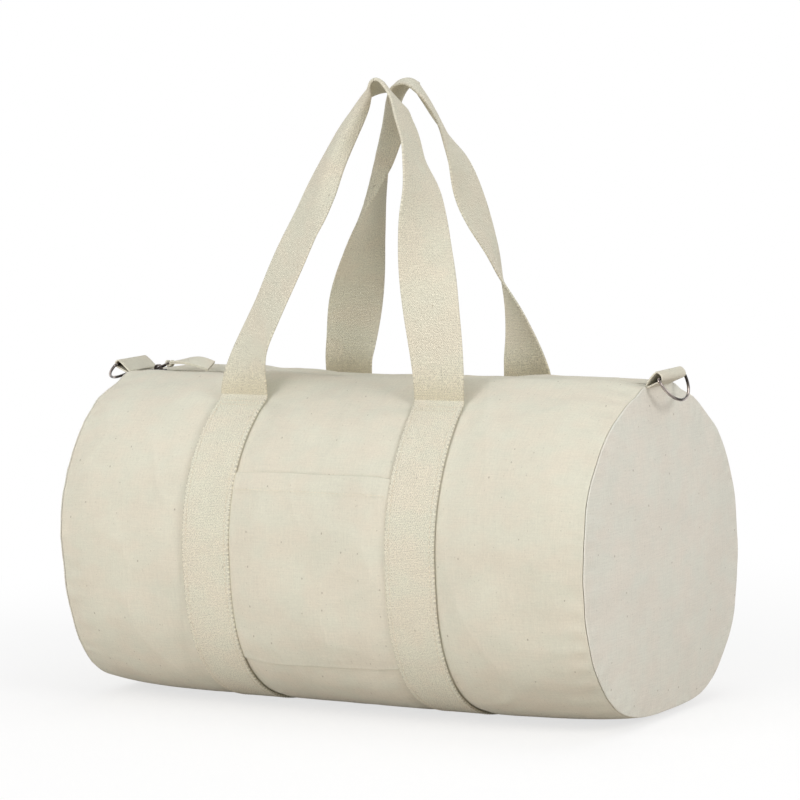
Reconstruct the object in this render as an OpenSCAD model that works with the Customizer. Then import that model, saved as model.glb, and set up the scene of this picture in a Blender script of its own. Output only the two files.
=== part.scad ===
// Barrel bag in natural cotton canvas, standing on its base.
// Origin: middle of the base, on the floor. +X runs along the barrel, -Y is the pocket side, +Z is up.

/* [Body] */
// Length of the barrel, from end seam to end seam
body_len = 456; // [380:1:540]
// Depth of the barrel, front to back
body_w = 250; // [210:1:290]
// Height of the canvas barrel, from its base to its top
body_h = 248; // [210:1:290]
// Thickness of the canvas
canvas_t = 1.2; // [0.8:0.1:1.6]
// How far each end seam is drawn in, all round
end_draw = 5.6; // [2:0.1:9]
// How far each end panel swells out past its seam
end_swell = 9; // [5:0.5:14]
// How far the weight of the bag flattens the base
base_press = 1.2; // [0.6:0.1:2]
// How far the zip lies below the top of the barrel
zip_dip = 4; // [3:0.5:7]
// Depth of the seam allowance inside each end
seam_depth = 10; // [6:1:14]
// Thickness of the bound seam allowance
seam_t = 2.4; // [1.6:0.2:3]

/* [Webbing] */
// Width of the webbing
web_w = 40; // [30:1:46]
// Thickness of the webbing
web_t = 2; // [1.4:0.1:2.6]
// Middle of the bag to the middle of each band of webbing
strap_x = 89; // [80:1:110]
// Middle of the bag to the feet of the handles, front or back
foot_y = 62; // [50:1:72]
// Height of the handles above their feet
handle_rise = 234; // [180:1:300]

/* [Pocket] */
// Height of the pocket's open edge
pocket_top_z = 184; // [150:1:205]
// Height of the pocket's lower seam
pocket_low_z = 45; // [30:1:80]
// Depth of the hem along the pocket's open edge
hem_h = 14; // [8:1:24]
// Thickness of the pocket canvas
pocket_t = 1; // [0.6:0.1:1.4]

/* [Zip] */
// Width of each zip tape
tape_w = 13; // [10:0.5:16]
// Thickness of the zip tapes
tape_t = 0.8; // [0.5:0.1:1]
// Width of the opening in the canvas over the zip
mouth_w = 14; // [14:0.1:16]
// Gap between the two rows of teeth with the zip undone
teeth_gap = 4.8; // [4.6:0.1:5]
// Reach of each tooth from its cord
tooth_w = 1.8; // [1.4:0.1:1.9]
// Distance from one tooth to the next
tooth_pitch = 4; // [3:0.1:5]
// Height of the teeth
tooth_h = 2.6; // [2:0.1:2.8]
// Length of the slider
slider_len = 13; // [11:0.5:15]
// Width of the slider
slider_w = 12.6; // [12.6:0.1:12.8]
// Thickness of the slider's plates
plate_t = 1.1; // [0.9:0.1:1.4]
// Thickness of the puller's wire
pull_wire = 1.4; // [1.1:0.1:1.5]
// Length of the puller between its two bars
puller_len = 12; // [10:0.5:16]
// Length of the canvas pull tab
tab_len = 43; // [30:1:55]
// Width of the canvas pull tab
tab_w = 11; // [8:0.5:14]
// Thickness of the folded canvas pull tab
tab_t = 2.4; // [1.8:0.1:2.8]

/* [Rings] */
// Width of the canvas loops that hold the rings
loop_w = 38; // [30:1:44]
// Thickness of one layer of those loops
loop_t = 1.4; // [1:0.1:2]
// End seam to the straight bar of each ring
loop_reach = 12.2; // [10:0.2:18]
// Upward tilt of the loops
loop_tilt = 30; // [20:1:50]
// Thickness of the ring's wire
ring_wire = 2.6; // [2:0.1:4]
// Outward swing of the right ring at rest, from hanging
right_swing = 28; // [0:1:60]
// Outward swing of the left ring at rest, from hanging
left_swing = 50; // [0:1:60]

/* [Hidden] */

$fn = 48;

// Clearances
lay_gap = 0.2;      // between sewn layers
turn_gap = 0.3;     // round pieces that turn or slide
fold_gap = 0.25;    // between the foot of a handle and the band below it
overrun = 5;        // how far a cut runs past what it cuts

// Shape of the barrel's cross-section and of its drawn-in ends
top_power = 2.05;
low_power = 2.75;
draw_power = 6;
swell_power = 2;

// Facets
ring_step = 5;
strap_steps = 60;
pocket_steps = 28;
path_steps = 2;

// Places along the half barrel where its rings of points stand
ring_shares = [0, 0.3, 0.5, 0.65, 0.76, 0.85, 0.92, 0.97, 1];
// Rings of points on an end panel, as shares of its radius
swell_shares = [1, 0.97, 0.9, 0.78, 0.62, 0.42, 0.2];

// Barrel
half_len = body_len / 2;
half_w = body_w / 2;
half_h = (body_h + base_press) / 2;
base_z = web_t + lay_gap;
mid_z = base_z - base_press + half_h;
zip_z = base_z + body_h - zip_dip;
valley_in = teeth_gap / 2 + tooth_w + tape_w + lay_gap;
valley_out = valley_in * 2.2;

// Webbing
half_web = web_w / 2;
strap_low = lay_gap;
strap_high = lay_gap + web_t;
mouth_angle = side_angle(mouth_w / 2, top_power);
lip_angle = side_angle(valley_in, top_power);
side_from = 25;
fold_lift = strap_high + fold_gap + web_t / 2;
handle_top_y = half_web + turn_gap;
foot_angle = side_angle(foot_y, top_power);
foot = skin(foot_angle, fold_lift, strap_x);

// Courses of the two handles, from the left foot over the top to the right foot.
// Each row: along the bag, out from the middle, up, as shares of strap_x, of the reach from
// handle_top_y to the foot, and of handle_rise, and then the turn of the webbing in degrees.
front_course_shares = [
  [-1.015, 1, 0, 0],
  [-1.014, 0.995, 0.03, 2],
  [-1.002, 0.965, 0.085, 12],
  [-0.93, 0.915, 0.17, 24],
  [-0.8, 0.865, 0.27, 26],
  [-0.68, 0.78, 0.37, 24],
  [-0.555, 0.7, 0.465, 24],
  [-0.445, 0.59, 0.56, 27],
  [-0.36, 0.475, 0.655, 32],
  [-0.26, 0.35, 0.75, 36],
  [-0.12, 0.215, 0.842, 38],
  [0.02, 0.08, 0.936, 43],
  [0.1, 0.025, 0.978, 55],
  [0.195, 0, 1, 66],
  [0.29, 0.03, 0.972, 69],
  [0.37, 0.085, 0.935, 69],
  [0.447, 0.175, 0.872, 69],
  [0.52, 0.26, 0.808, 70],
  [0.575, 0.35, 0.747, 78],
  [0.66, 0.475, 0.653, 98],
  [0.7, 0.59, 0.56, 117],
  [0.74, 0.695, 0.467, 131],
  [0.782, 0.78, 0.373, 147],
  [0.827, 0.86, 0.281, 160],
  [0.868, 0.91, 0.187, 168],
  [0.9, 0.96, 0.094, 175],
  [0.914, 0.995, 0.03, 179],
  [0.916, 1, 0, 180]
];
back_course_shares = [
  [-0.854, 1, 0, 0],
  [-0.853, 0.995, 0.03, 1],
  [-0.838, 0.965, 0.07, 3],
  [-0.8, 0.93, 0.125, 8],
  [-0.735, 0.88, 0.228, 26],
  [-0.655, 0.81, 0.33, 50],
  [-0.565, 0.725, 0.432, 73],
  [-0.466, 0.62, 0.53, 89],
  [-0.38, 0.5, 0.633, 97],
  [-0.3, 0.375, 0.732, 100],
  [-0.23, 0.28, 0.8, 100],
  [-0.15, 0.185, 0.865, 101],
  [-0.06, 0.095, 0.928, 103],
  [0.045, 0.03, 0.973, 107],
  [0.155, 0, 0.995, 111],
  [0.25, 0.04, 0.965, 117],
  [0.318, 0.095, 0.927, 121],
  [0.39, 0.19, 0.862, 121],
  [0.457, 0.28, 0.796, 113],
  [0.522, 0.375, 0.73, 101],
  [0.574, 0.5, 0.632, 91],
  [0.64, 0.62, 0.533, 94],
  [0.72, 0.72, 0.434, 107],
  [0.787, 0.81, 0.335, 121],
  [0.87, 0.88, 0.236, 138],
  [0.924, 0.935, 0.138, 155],
  [0.95, 0.975, 0.06, 172],
  [0.954, 0.995, 0.03, 177],
  [0.955, 1, 0, 180]
];

// Zip; its tapes stop just short of the end seams
tape_short = 1;
tape_reach = half_len - tape_short;
tape_z = zip_z - canvas_t - lay_gap - tape_t;
chain_z = tape_z + tape_t / 2;
cord_y = teeth_gap / 2 + tooth_w;
cord_w = 0.8;
tooth_len = tooth_pitch * 0.42;
stop_len = 3;
stop_lap = 1.4;
bottom_stop_x = -tape_reach + stop_len + 2 * lay_gap;
slider_x = bottom_stop_x + stop_len / 2 + turn_gap + slider_len / 2;
teeth_from = bottom_stop_x + stop_len / 2 + lay_gap;
top_stop_x = tape_reach - stop_len * 3;
teeth_to = top_stop_x - stop_len / 2 - lay_gap;
plate_gap = tooth_h + 2 * turn_gap;
flange_w = slider_w / 2 - cord_y - cord_w - turn_gap;
post_w = teeth_gap - 2 * turn_gap - lay_gap;
plate_top_z = chain_z + plate_gap / 2 + plate_t;
wire_r = pull_wire / 2;
crown_t = 1.1;
crown_w = 3.2;
crown_in = pull_wire + 2 * turn_gap;
pull_x = slider_x + slider_len * 0.1;
pull_z = plate_top_z + crown_in / 2;
pull_tilt = 22;
bend_r = pull_wire * 1.15;
puller_w = crown_w + 2 * bend_r;
tab_eye = wire_r + turn_gap;
tab_loop_r = tab_eye + tab_t / 2;
tab_start = wire_r + 3 * turn_gap;
tab_rise = 3;
tab_drop = 3;

// Rings
ring_r = ring_wire / 2;
ring_span = (loop_w + ring_wire) / 2 + 2 * turn_gap;
loop_eye = ring_r + turn_gap;
loop_r = loop_eye + loop_t;
rim_x = half_len + lay_gap + canvas_t;
loop_x = rim_x + lay_gap + loop_reach * cos(loop_tilt);
loop_z = zip_z + lay_gap + loop_reach * sin(loop_tilt);

// Share of the full section at a place along the barrel
function draw_in(x) = 1 - end_draw / half_h * pow(abs(x) / half_len, draw_power);

// Share of a half width or half height at an angle from the top
function bow(v, power) = sign(v) * pow(abs(v), 2 / power);

// Angle from the top at which the barrel is y wide
function side_angle(y, power) = asin(pow(y / half_w, power / 2));

// Angle from the top, on either side, at which the barrel is z high
function height_angle(z) = z > mid_z
  ? acos(pow((z - mid_z) / half_h, top_power / 2))
  : 180 - acos(pow((mid_z - z) / half_h, low_power / 2));

// How fully the canvas is held at the level of the zip, 1 beside the zip and 0 outside the valley
function valley(y) = pow(cos(90 * min(1, max(0, (abs(y) - valley_in) / (valley_out - valley_in)))), 2);

// A point on the skin of the barrel: a = angle from the top towards the back, d = distance outside it
function skin(a, d, x) =
  let (
    power = cos(a) < 0 ? low_power : top_power,
    y = (half_w * draw_in(x) + d) * bow(sin(a), power),
    z = mid_z + (half_h * draw_in(x) + d) * bow(cos(a), power),
    hold = cos(a) > 0 ? valley(y) : 0
  )
  [x, y, max(base_z - d, z + (zip_z + d - z) * hold)];

// Middle of a band of webbing at an angle: it drifts near its feet, to meet the handles there
function band_x(side, a) =
  let (
    course = a > 180 ? front_course_shares : back_course_shares,
    foot_x = strap_x * course[side < 0 ? 0 : len(course) - 1][0],
    rise = max(0, (90 - min(a, 360 - a)) / (90 - foot_angle))
  )
  side * strap_x + (foot_x - side * strap_x) * pow(rise, 3);

// A point between two rows of a course, on a smooth curve through all of them
function curve_at(rows, i, t) =
  let (
    last = len(rows) - 1,
    a = rows[max(0, i - 1)],
    b = rows[i],
    c = rows[min(last, i + 1)],
    d = rows[min(last, i + 2)]
  )
  b + 0.5 * t * (c - a + t * (2 * a - 5 * b + 4 * c - d + t * (3 * (b - c) + d - a)));

function curve(rows) = concat(
  [for (i = [0 : len(rows) - 2], s = [0 : path_steps - 1]) curve_at(rows, i, s / path_steps)],
  [rows[len(rows) - 1]]
);

function unit(v) = v / norm(v);

// Solid between two grids of points; rows run one way and columns the other
module sheet_solid(outer, inner, ring = false) {
  rows = len(outer);
  cols = len(outer[0]);
  last = ring ? cols - 1 : cols - 2;
  function at(i, j, k) = (k * rows + i) * cols + j % cols;
  points = concat([for (row = outer, p = row) p], [for (row = inner, p = row) p]);
  faces = concat(
    [for (i = [0 : rows - 2], j = [0 : last], t = [0, 1])
      t == 0 ? [at(i, j, 0), at(i + 1, j, 0), at(i + 1, j + 1, 0)]
             : [at(i, j, 0), at(i + 1, j + 1, 0), at(i, j + 1, 0)]],
    [for (i = [0 : rows - 2], j = [0 : last], t = [0, 1])
      t == 0 ? [at(i, j, 1), at(i + 1, j + 1, 1), at(i + 1, j, 1)]
             : [at(i, j, 1), at(i, j + 1, 1), at(i + 1, j + 1, 1)]],
    [for (j = [0 : last], t = [0, 1])
      t == 0 ? [at(0, j, 0), at(0, j + 1, 0), at(0, j + 1, 1)]
             : [at(0, j, 0), at(0, j + 1, 1), at(0, j, 1)]],
    [for (j = [0 : last], t = [0, 1])
      t == 0 ? [at(rows - 1, j, 0), at(rows - 1, j + 1, 1), at(rows - 1, j + 1, 0)]
             : [at(rows - 1, j, 0), at(rows - 1, j, 1), at(rows - 1, j + 1, 1)]],
    ring ? [] : [for (i = [0 : rows - 2], t = [0, 1])
      t == 0 ? [at(i, 0, 0), at(i + 1, 0, 1), at(i + 1, 0, 0)]
             : [at(i, 0, 0), at(i, 0, 1), at(i + 1, 0, 1)]],
    ring ? [] : [for (i = [0 : rows - 2], t = [0, 1])
      t == 0 ? [at(i, cols - 1, 0), at(i + 1, cols - 1, 0), at(i + 1, cols - 1, 1)]
             : [at(i, cols - 1, 0), at(i + 1, cols - 1, 1), at(i, cols - 1, 1)]]
  );
  polyhedron(points, faces, convexity = 10);
}

// Angles of the points round a section, from one edge of the valley over the zip to the other
function side_angles() = concat(
  [for (i = [2 : 4]) lip_angle * i / 2],
  [for (a = [side_from : ring_step : 360 - side_from]) a],
  [for (i = [4 : -1 : 2]) 360 - lip_angle * i / 2]
);

function ring_angles() = concat([0, lip_angle / 2], side_angles(), [360 - lip_angle / 2]);

// One rectangle of canvas, whose long edges stop at the zip
module main_panel() {
  n = len(ring_shares);
  places = concat(
    [for (i = [n - 1 : -1 : 1]) -half_len * ring_shares[i]],
    [for (s = ring_shares) half_len * s]
  );
  angles = concat([mouth_angle], side_angles(), [360 - mouth_angle]);
  color([0.87, 0.84, 0.76]) sheet_solid(
    [for (x = places) [for (a = angles) skin(a, 0, x)]],
    [for (x = places) [for (a = angles) skin(a, -canvas_t, x)]]
  );
}

// A point on an end panel: share = share of the radius, d = distance outside its inner face
function end_point(side, share, a, d) =
  let (p = skin(a, 0, half_len))
  [
    side * (half_len + lay_gap + d + end_swell * (1 - pow(share, swell_power))),
    p[1] * share,
    mid_z + (p[2] - mid_z) * share
  ];

module end_panel(side) {
  rings = len(swell_shares);
  angles = ring_angles();
  cols = len(angles);
  function at(i, j, k) = (k * rings + i) * cols + j % cols;
  hub = 2 * rings * cols;
  points = concat(
    [for (d = [canvas_t, 0], s = swell_shares, a = angles) end_point(side, s, a, d)],
    [for (d = [canvas_t, 0]) end_point(side, 0, 0, d)]
  );
  walls = concat(
    [for (i = [0 : rings - 2], j = [0 : cols - 1]) [at(i, j, 0), at(i, j + 1, 0), at(i + 1, j + 1, 0)]],
    [for (i = [0 : rings - 2], j = [0 : cols - 1]) [at(i, j, 0), at(i + 1, j + 1, 0), at(i + 1, j, 0)]],
    [for (i = [0 : rings - 2], j = [0 : cols - 1]) [at(i, j, 1), at(i + 1, j + 1, 1), at(i, j + 1, 1)]],
    [for (i = [0 : rings - 2], j = [0 : cols - 1]) [at(i, j, 1), at(i + 1, j, 1), at(i + 1, j + 1, 1)]],
    [for (j = [0 : cols - 1]) [at(0, j, 0), at(0, j + 1, 1), at(0, j + 1, 0)]],
    [for (j = [0 : cols - 1]) [at(0, j, 0), at(0, j, 1), at(0, j + 1, 1)]],
    [for (j = [0 : cols - 1]) [at(rings - 1, j, 0), at(rings - 1, j + 1, 0), hub]],
    [for (j = [0 : cols - 1]) [at(rings - 1, j, 1), hub + 1, at(rings - 1, j + 1, 1)]]
  );
  faces = side > 0 ? walls : [for (f = walls) [for (i = [len(f) - 1 : -1 : 0]) f[i]]];
  color([0.84, 0.82, 0.76]) polyhedron(points, faces, convexity = 10);
}

module left_end_panel() end_panel(-1);

module right_end_panel() end_panel(1);

// Bound seam allowance, standing inside each end below the zip tapes
module seam_binding(side) color([0.8, 0.76, 0.66]) {
  high = -canvas_t - 2 * lay_gap - tape_t - lay_gap;
  places = side > 0 ? [half_len - lay_gap - seam_t, half_len - lay_gap]
                    : [-half_len + lay_gap, -half_len + lay_gap + seam_t];
  sheet_solid(
    [for (x = places) [for (a = ring_angles()) skin(a, high, x)]],
    [for (x = places) [for (a = ring_angles()) skin(a, high - seam_depth, x)]],
    ring = true
  );
}

module left_seam_binding() seam_binding(-1);

module right_seam_binding() seam_binding(1);

// Slip pocket between the two bands of webbing; its hem is two layers thick
module pocket_panel() {
  from = height_angle(pocket_top_z);
  to = height_angle(pocket_low_z);
  hem_angle = height_angle(pocket_top_z - hem_h);
  angles = concat(
    [for (i = [0 : 3]) from + (hem_angle - from) * i / 3],
    [hem_angle + (to - from) / pocket_steps / 4],
    [for (i = [1 : pocket_steps]) hem_angle + (to - hem_angle) * i / pocket_steps]
  );
  function thick(a) = a <= hem_angle ? 2 * pocket_t : pocket_t;
  function edge_x(side, a) = band_x(side, 360 - a) - side * (half_web + lay_gap);
  color([0.86, 0.83, 0.75]) sheet_solid(
    [for (side = [-1, 1]) [for (i = [len(angles) - 1 : -1 : 0])
      skin(360 - angles[i], lay_gap + thick(angles[i]), edge_x(side, angles[i]))]],
    [for (side = [-1, 1]) [for (i = [len(angles) - 1 : -1 : 0])
      skin(360 - angles[i], lay_gap, edge_x(side, angles[i]))]]
  );
}

// Band of webbing sewn round the barrel, from the back foot under the base to the front foot
module strap(side) color([0.88, 0.84, 0.73]) {
  angles = [for (i = [0 : strap_steps]) foot_angle + (360 - 2 * foot_angle) * i / strap_steps];
  sheet_solid(
    [for (edge = [-1, 1]) [for (a = angles) skin(a, strap_high, band_x(side, a) + edge * half_web)]],
    [for (edge = [-1, 1]) [for (a = angles) skin(a, strap_low, band_x(side, a) + edge * half_web)]]
  );
}

module left_strap() strap(-1);

module right_strap() strap(1);

// Free loop of webbing; side is -1 for the front handle and 1 for the back one
module handle(side, course) color([0.86, 0.81, 0.69]) {
  rows = curve(course);
  last = len(rows) - 1;
  centres = [for (r = rows) [
    strap_x * r[0],
    side * (handle_top_y + (foot[1] - handle_top_y) * r[1]),
    foot[2] + handle_rise * r[2]
  ]];
  ways = [for (i = [0 : last]) unit(centres[min(last, i + 1)] - centres[max(0, i - 1)])];
  flats = [for (i = [0 : last])
    let (across = [-side * cos(rows[i][3]), -sin(rows[i][3]), 0])
    unit(across - (across * ways[i]) * ways[i])];
  faces = [for (i = [0 : last]) cross(flats[i], ways[i])];
  sheet_solid(
    [for (edge = [1, -1]) [for (i = [0 : last])
      centres[i] + edge * half_web * flats[i] + web_t / 2 * faces[i]]],
    [for (edge = [1, -1]) [for (i = [0 : last])
      centres[i] + edge * half_web * flats[i] - web_t / 2 * faces[i]]]
  );
}

module front_handle() handle(-1, front_course_shares);

module back_handle() handle(1, back_course_shares);

module zip_tape(side) color([0.83, 0.79, 0.69])
  translate([-tape_reach, side > 0 ? cord_y : -cord_y - tape_w, tape_z])
    cube([2 * tape_reach, tape_w, tape_t]);

module front_zip_tape() zip_tape(-1);

module back_zip_tape() zip_tape(1);

// A row of teeth on its cord along the edge of a tape
module zip_teeth(side) color([0.35, 0.33, 0.31]) {
  span = teeth_to - teeth_from - tooth_len;
  count = round(span / tooth_pitch);
  edge = side * cord_y;
  tips = [for (i = [0 : count], k = [0 : 3])
    let (x = teeth_from + span * i / count + (k > 1 ? tooth_len : 0))
    [x, k == 0 || k == 3 ? edge : edge - side * tooth_w]];
  back = [[teeth_to, edge + side * cord_w], [teeth_from, edge + side * cord_w]];
  difference() {
    translate([0, 0, chain_z - tooth_h / 2]) linear_extrude(tooth_h) polygon(concat(tips, back));
    translate([teeth_from - overrun, side > 0 ? cord_y : -cord_y - tape_w, tape_z - lay_gap / 2])
      cube([teeth_to - teeth_from + 2 * overrun, tape_w, tape_t + lay_gap]);
  }
}

module front_zip_teeth() zip_teeth(-1);

module back_zip_teeth() zip_teeth(1);

// Metal stop that joins both tapes at the left end
module zip_bottom_stop() color([0.35, 0.33, 0.31])
  difference() {
    translate([bottom_stop_x - stop_len / 2, -cord_y - stop_lap, chain_z - tooth_h / 2])
      cube([stop_len, 2 * (cord_y + stop_lap), tooth_h]);
    for (side = [-1, 1])
      translate([bottom_stop_x - overrun, side > 0 ? cord_y : -cord_y - tape_w, tape_z - lay_gap / 2])
        cube([2 * overrun, tape_w, tape_t + lay_gap]);
  }

module zip_top_stop(side) color([0.35, 0.33, 0.31])
  difference() {
    translate([top_stop_x - stop_len / 2, side > 0 ? cord_y - tooth_w : -cord_y - stop_lap, chain_z - tooth_h / 2])
      cube([stop_len, tooth_w + stop_lap, tooth_h]);
    translate([top_stop_x - overrun, side > 0 ? cord_y : -cord_y - tape_w, tape_z - lay_gap / 2])
      cube([2 * overrun, tape_w, tape_t + lay_gap]);
  }

module front_zip_top_stop() zip_top_stop(-1);

module back_zip_top_stop() zip_top_stop(1);

// Outline of a slider plate, wide at the shoulder and narrow at the tail
module plate_outline() {
  shoulder = slider_w / 2;
  tail = slider_w * 0.4;
  polygon([
    [-slider_len / 2, -tail * 0.8],
    [-slider_len * 0.4, -tail],
    [0, -shoulder],
    [slider_len * 0.36, -shoulder],
    [slider_len / 2, -shoulder * 0.7],
    [slider_len / 2, shoulder * 0.7],
    [slider_len * 0.36, shoulder],
    [0, shoulder],
    [-slider_len * 0.4, tail],
    [-slider_len / 2, tail * 0.8]
  ]);
}

module zip_slider() color([0.3, 0.28, 0.26]) {
  bite = plate_t / 2;
  flange_h = (plate_gap - tape_t) / 2 - turn_gap;
  crown_len = crown_in + 2 * crown_t;
  crown_low = crown_in / 2 + bite;
  translate([slider_x, 0, chain_z]) {
    for (up = [-1, 1])
      translate([0, 0, up > 0 ? plate_gap / 2 : -plate_gap / 2 - plate_t])
        linear_extrude(plate_t) plate_outline();
    for (side = [-1, 1], up = [-1, 1])
      translate([
        0,
        side > 0 ? slider_w / 2 - flange_w : -slider_w / 2,
        up > 0 ? plate_gap / 2 - flange_h : -plate_gap / 2 - bite
      ])
        cube([slider_len * 0.36, flange_w, flange_h + bite]);
    translate([slider_len * 0.2, -post_w / 2, -plate_gap / 2 - bite])
      cube([slider_len * 0.24, post_w, plate_gap + 2 * bite]);
  }
  translate([pull_x, crown_w / 2, pull_z])
    rotate([90, 0, 0])
      linear_extrude(crown_w)
        difference() {
          union() {
            circle(r = crown_in / 2 + crown_t);
            translate([-crown_len / 2, -crown_low]) square([crown_len, crown_low]);
          }
          circle(r = crown_in / 2);
          translate([-crown_in / 2, -crown_low - overrun]) square([crown_in, crown_low + overrun]);
          translate([-crown_len / 2, -crown_low - overrun]) square([crown_len, overrun]);
        }
}

// Closed loop of wire: one end under the slider's crown, the other in the pull tab
module zip_puller() color([0.36, 0.33, 0.3])
  translate([pull_x, 0, pull_z])
    rotate([0, -pull_tilt, 0]) {
      for (x = [0, puller_len])
        translate([x, puller_w / 2 - bend_r, 0])
          rotate([90, 0, 0]) cylinder(r = wire_r, h = puller_w - 2 * bend_r);
      for (side = [-1, 1])
        translate([bend_r, side * puller_w / 2, 0])
          rotate([0, 90, 0]) cylinder(r = wire_r, h = puller_len - 2 * bend_r);
      for (side = [-1, 1], far = [0, 1])
        translate([far == 0 ? bend_r : puller_len - bend_r, side * (puller_w / 2 - bend_r), 0])
          rotate([0, 0, (far == 0 ? 90 : 0) + (far == 0 ? (side > 0 ? 0 : 90) : (side > 0 ? 0 : -90))])
            rotate_extrude(angle = 90) translate([bend_r, 0]) circle(r = wire_r);
    }

// Strip of folded canvas, gathered round the outer bar of the puller
module zip_pull_tab() {
  steps = 12;
  function arch(t) = tab_rise * sin(180 * t) - tab_drop * t;
  spine = [for (i = [0 : steps]) let (t = i / steps) [tab_start + tab_len * t, arch(t)]];
  strip = concat(
    [for (p = spine) p + [0, tab_t / 2]],
    [for (i = [steps : -1 : 0]) spine[i] - [0, tab_t / 2]]
  );
  color([0.86, 0.82, 0.73])
  translate([pull_x + puller_len * cos(pull_tilt), 0, pull_z + puller_len * sin(pull_tilt)])
    rotate([90, 0, 0]) {
      linear_extrude(crown_w, center = true)
        difference() {
          union() {
            circle(r = tab_loop_r);
            translate([0, -tab_t / 2]) square([tab_start + tab_t / 2, tab_t]);
          }
          circle(r = tab_eye);
        }
      linear_extrude(tab_w, center = true) polygon(strip);
    }
}

// Folded loop of canvas that holds a ring at the top of an end seam
module ring_loop(side) color([0.85, 0.82, 0.73])
  mirror([side > 0 ? 0 : 1, 0, 0])
    translate([loop_x, 0, loop_z])
      rotate([90, -loop_tilt, 0])
        linear_extrude(loop_w, center = true)
          difference() {
            union() {
              circle(r = loop_r);
              translate([-loop_reach, 0]) loop_wedge(loop_reach, loop_r, loop_t);
            }
            circle(r = loop_eye);
            translate([-loop_reach, 0]) loop_wedge(loop_reach, loop_eye, 0, loop_reach * 0.25);
          }

// Wedge that narrows from the loop's eye to its root in the seam
module loop_wedge(reach, wide, narrow, from = 0)
  polygon([[from, -narrow], [reach, -wide], [reach, wide], [from, narrow]]);

module left_ring_loop() ring_loop(-1);

module right_ring_loop() ring_loop(1);

// D-ring: a straight bar in the canvas loop and half a turn of wire below it
module d_ring(side, swing) color([0.42, 0.39, 0.37])
  translate([side * loop_x, 0, loop_z])
    rotate([0, -side * swing, 0]) {
      translate([0, ring_span, 0]) rotate([90, 0, 0]) cylinder(r = ring_r, h = 2 * ring_span);
      rotate([90, 0, 90])
        rotate([0, 0, 180])
          rotate_extrude(angle = 180) translate([ring_span, 0]) circle(r = ring_r);
      for (end = [-1, 1]) translate([0, end * ring_span, 0]) sphere(r = ring_r);
    }

module left_d_ring() d_ring(-1, left_swing);

module right_d_ring() d_ring(1, right_swing);

main_panel();
left_end_panel();
right_end_panel();
left_seam_binding();
right_seam_binding();
pocket_panel();
left_strap();
right_strap();
front_handle();
back_handle();
front_zip_tape();
back_zip_tape();
front_zip_teeth();
back_zip_teeth();
zip_bottom_stop();
front_zip_top_stop();
back_zip_top_stop();
zip_slider();
zip_puller();
zip_pull_tab();
left_ring_loop();
right_ring_loop();
left_d_ring();
right_d_ring();
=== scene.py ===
import math

import bpy
import numpy as np
from mathutils import Matrix, Vector


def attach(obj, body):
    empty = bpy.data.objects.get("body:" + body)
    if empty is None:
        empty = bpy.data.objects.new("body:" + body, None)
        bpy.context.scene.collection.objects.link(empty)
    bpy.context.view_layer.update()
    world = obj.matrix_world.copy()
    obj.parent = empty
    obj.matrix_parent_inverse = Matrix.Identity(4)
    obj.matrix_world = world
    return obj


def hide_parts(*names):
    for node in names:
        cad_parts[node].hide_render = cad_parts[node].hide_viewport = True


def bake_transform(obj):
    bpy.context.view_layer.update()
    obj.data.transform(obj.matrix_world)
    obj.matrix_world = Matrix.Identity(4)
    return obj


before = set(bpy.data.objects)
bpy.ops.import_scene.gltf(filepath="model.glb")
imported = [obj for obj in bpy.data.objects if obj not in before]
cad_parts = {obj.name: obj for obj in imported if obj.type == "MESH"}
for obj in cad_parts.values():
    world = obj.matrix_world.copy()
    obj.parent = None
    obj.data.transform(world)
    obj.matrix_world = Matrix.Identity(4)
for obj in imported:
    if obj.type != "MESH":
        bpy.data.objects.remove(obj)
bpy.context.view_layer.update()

bl_info = {
    "name": "Barrel Bag",
    "version": (1, 0, 0),
    "blender": (4, 5, 0),
    "location": "3D View > Sidebar > Barrel Bag",
    "description": "Dresses the frame of a canvas barrel bag in its cloth, webbing, zip and rings",
    "category": "Add Mesh",
}

MM = 0.001
LAY_GAP = 0.2      # between sewn layers, mm
FOLD_GAP = 0.25    # between the foot of a handle and the band below it, mm

# Courses of the handles from the left foot to the right one: shares of strap_x, of the reach in from
# the foot, and of the rise, then the turn of the webbing in degrees.
FRONT_COURSE = [
    (-1.015, 1, 0, 0), (-1.014, 0.995, 0.03, 2), (-1.002, 0.965, 0.085, 12), (-0.93, 0.915, 0.17, 24),
    (-0.8, 0.865, 0.27, 26), (-0.68, 0.78, 0.37, 24), (-0.555, 0.7, 0.465, 24), (-0.445, 0.59, 0.56, 27),
    (-0.375, 0.475, 0.655, 32), (-0.3, 0.35, 0.75, 36), (-0.2, 0.215, 0.842, 33), (-0.06, 0.08, 0.936, 37),
    (0.04, 0.025, 0.978, 49), (0.13, 0, 0.996, 57), (0.22, 0.005, 0.992, 65), (0.3, 0.04, 0.963, 71),
    (0.37, 0.09, 0.93, 74), (0.44, 0.175, 0.872, 76), (0.515, 0.26, 0.808, 76), (0.572, 0.35, 0.747, 80),
    (0.66, 0.475, 0.653, 98), (0.7, 0.59, 0.56, 117), (0.74, 0.695, 0.467, 131), (0.782, 0.78, 0.373, 147),
    (0.827, 0.86, 0.281, 160), (0.868, 0.91, 0.187, 168), (0.9, 0.96, 0.094, 175),
    (0.914, 0.995, 0.03, 179), (0.916, 1, 0, 180),
]
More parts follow.
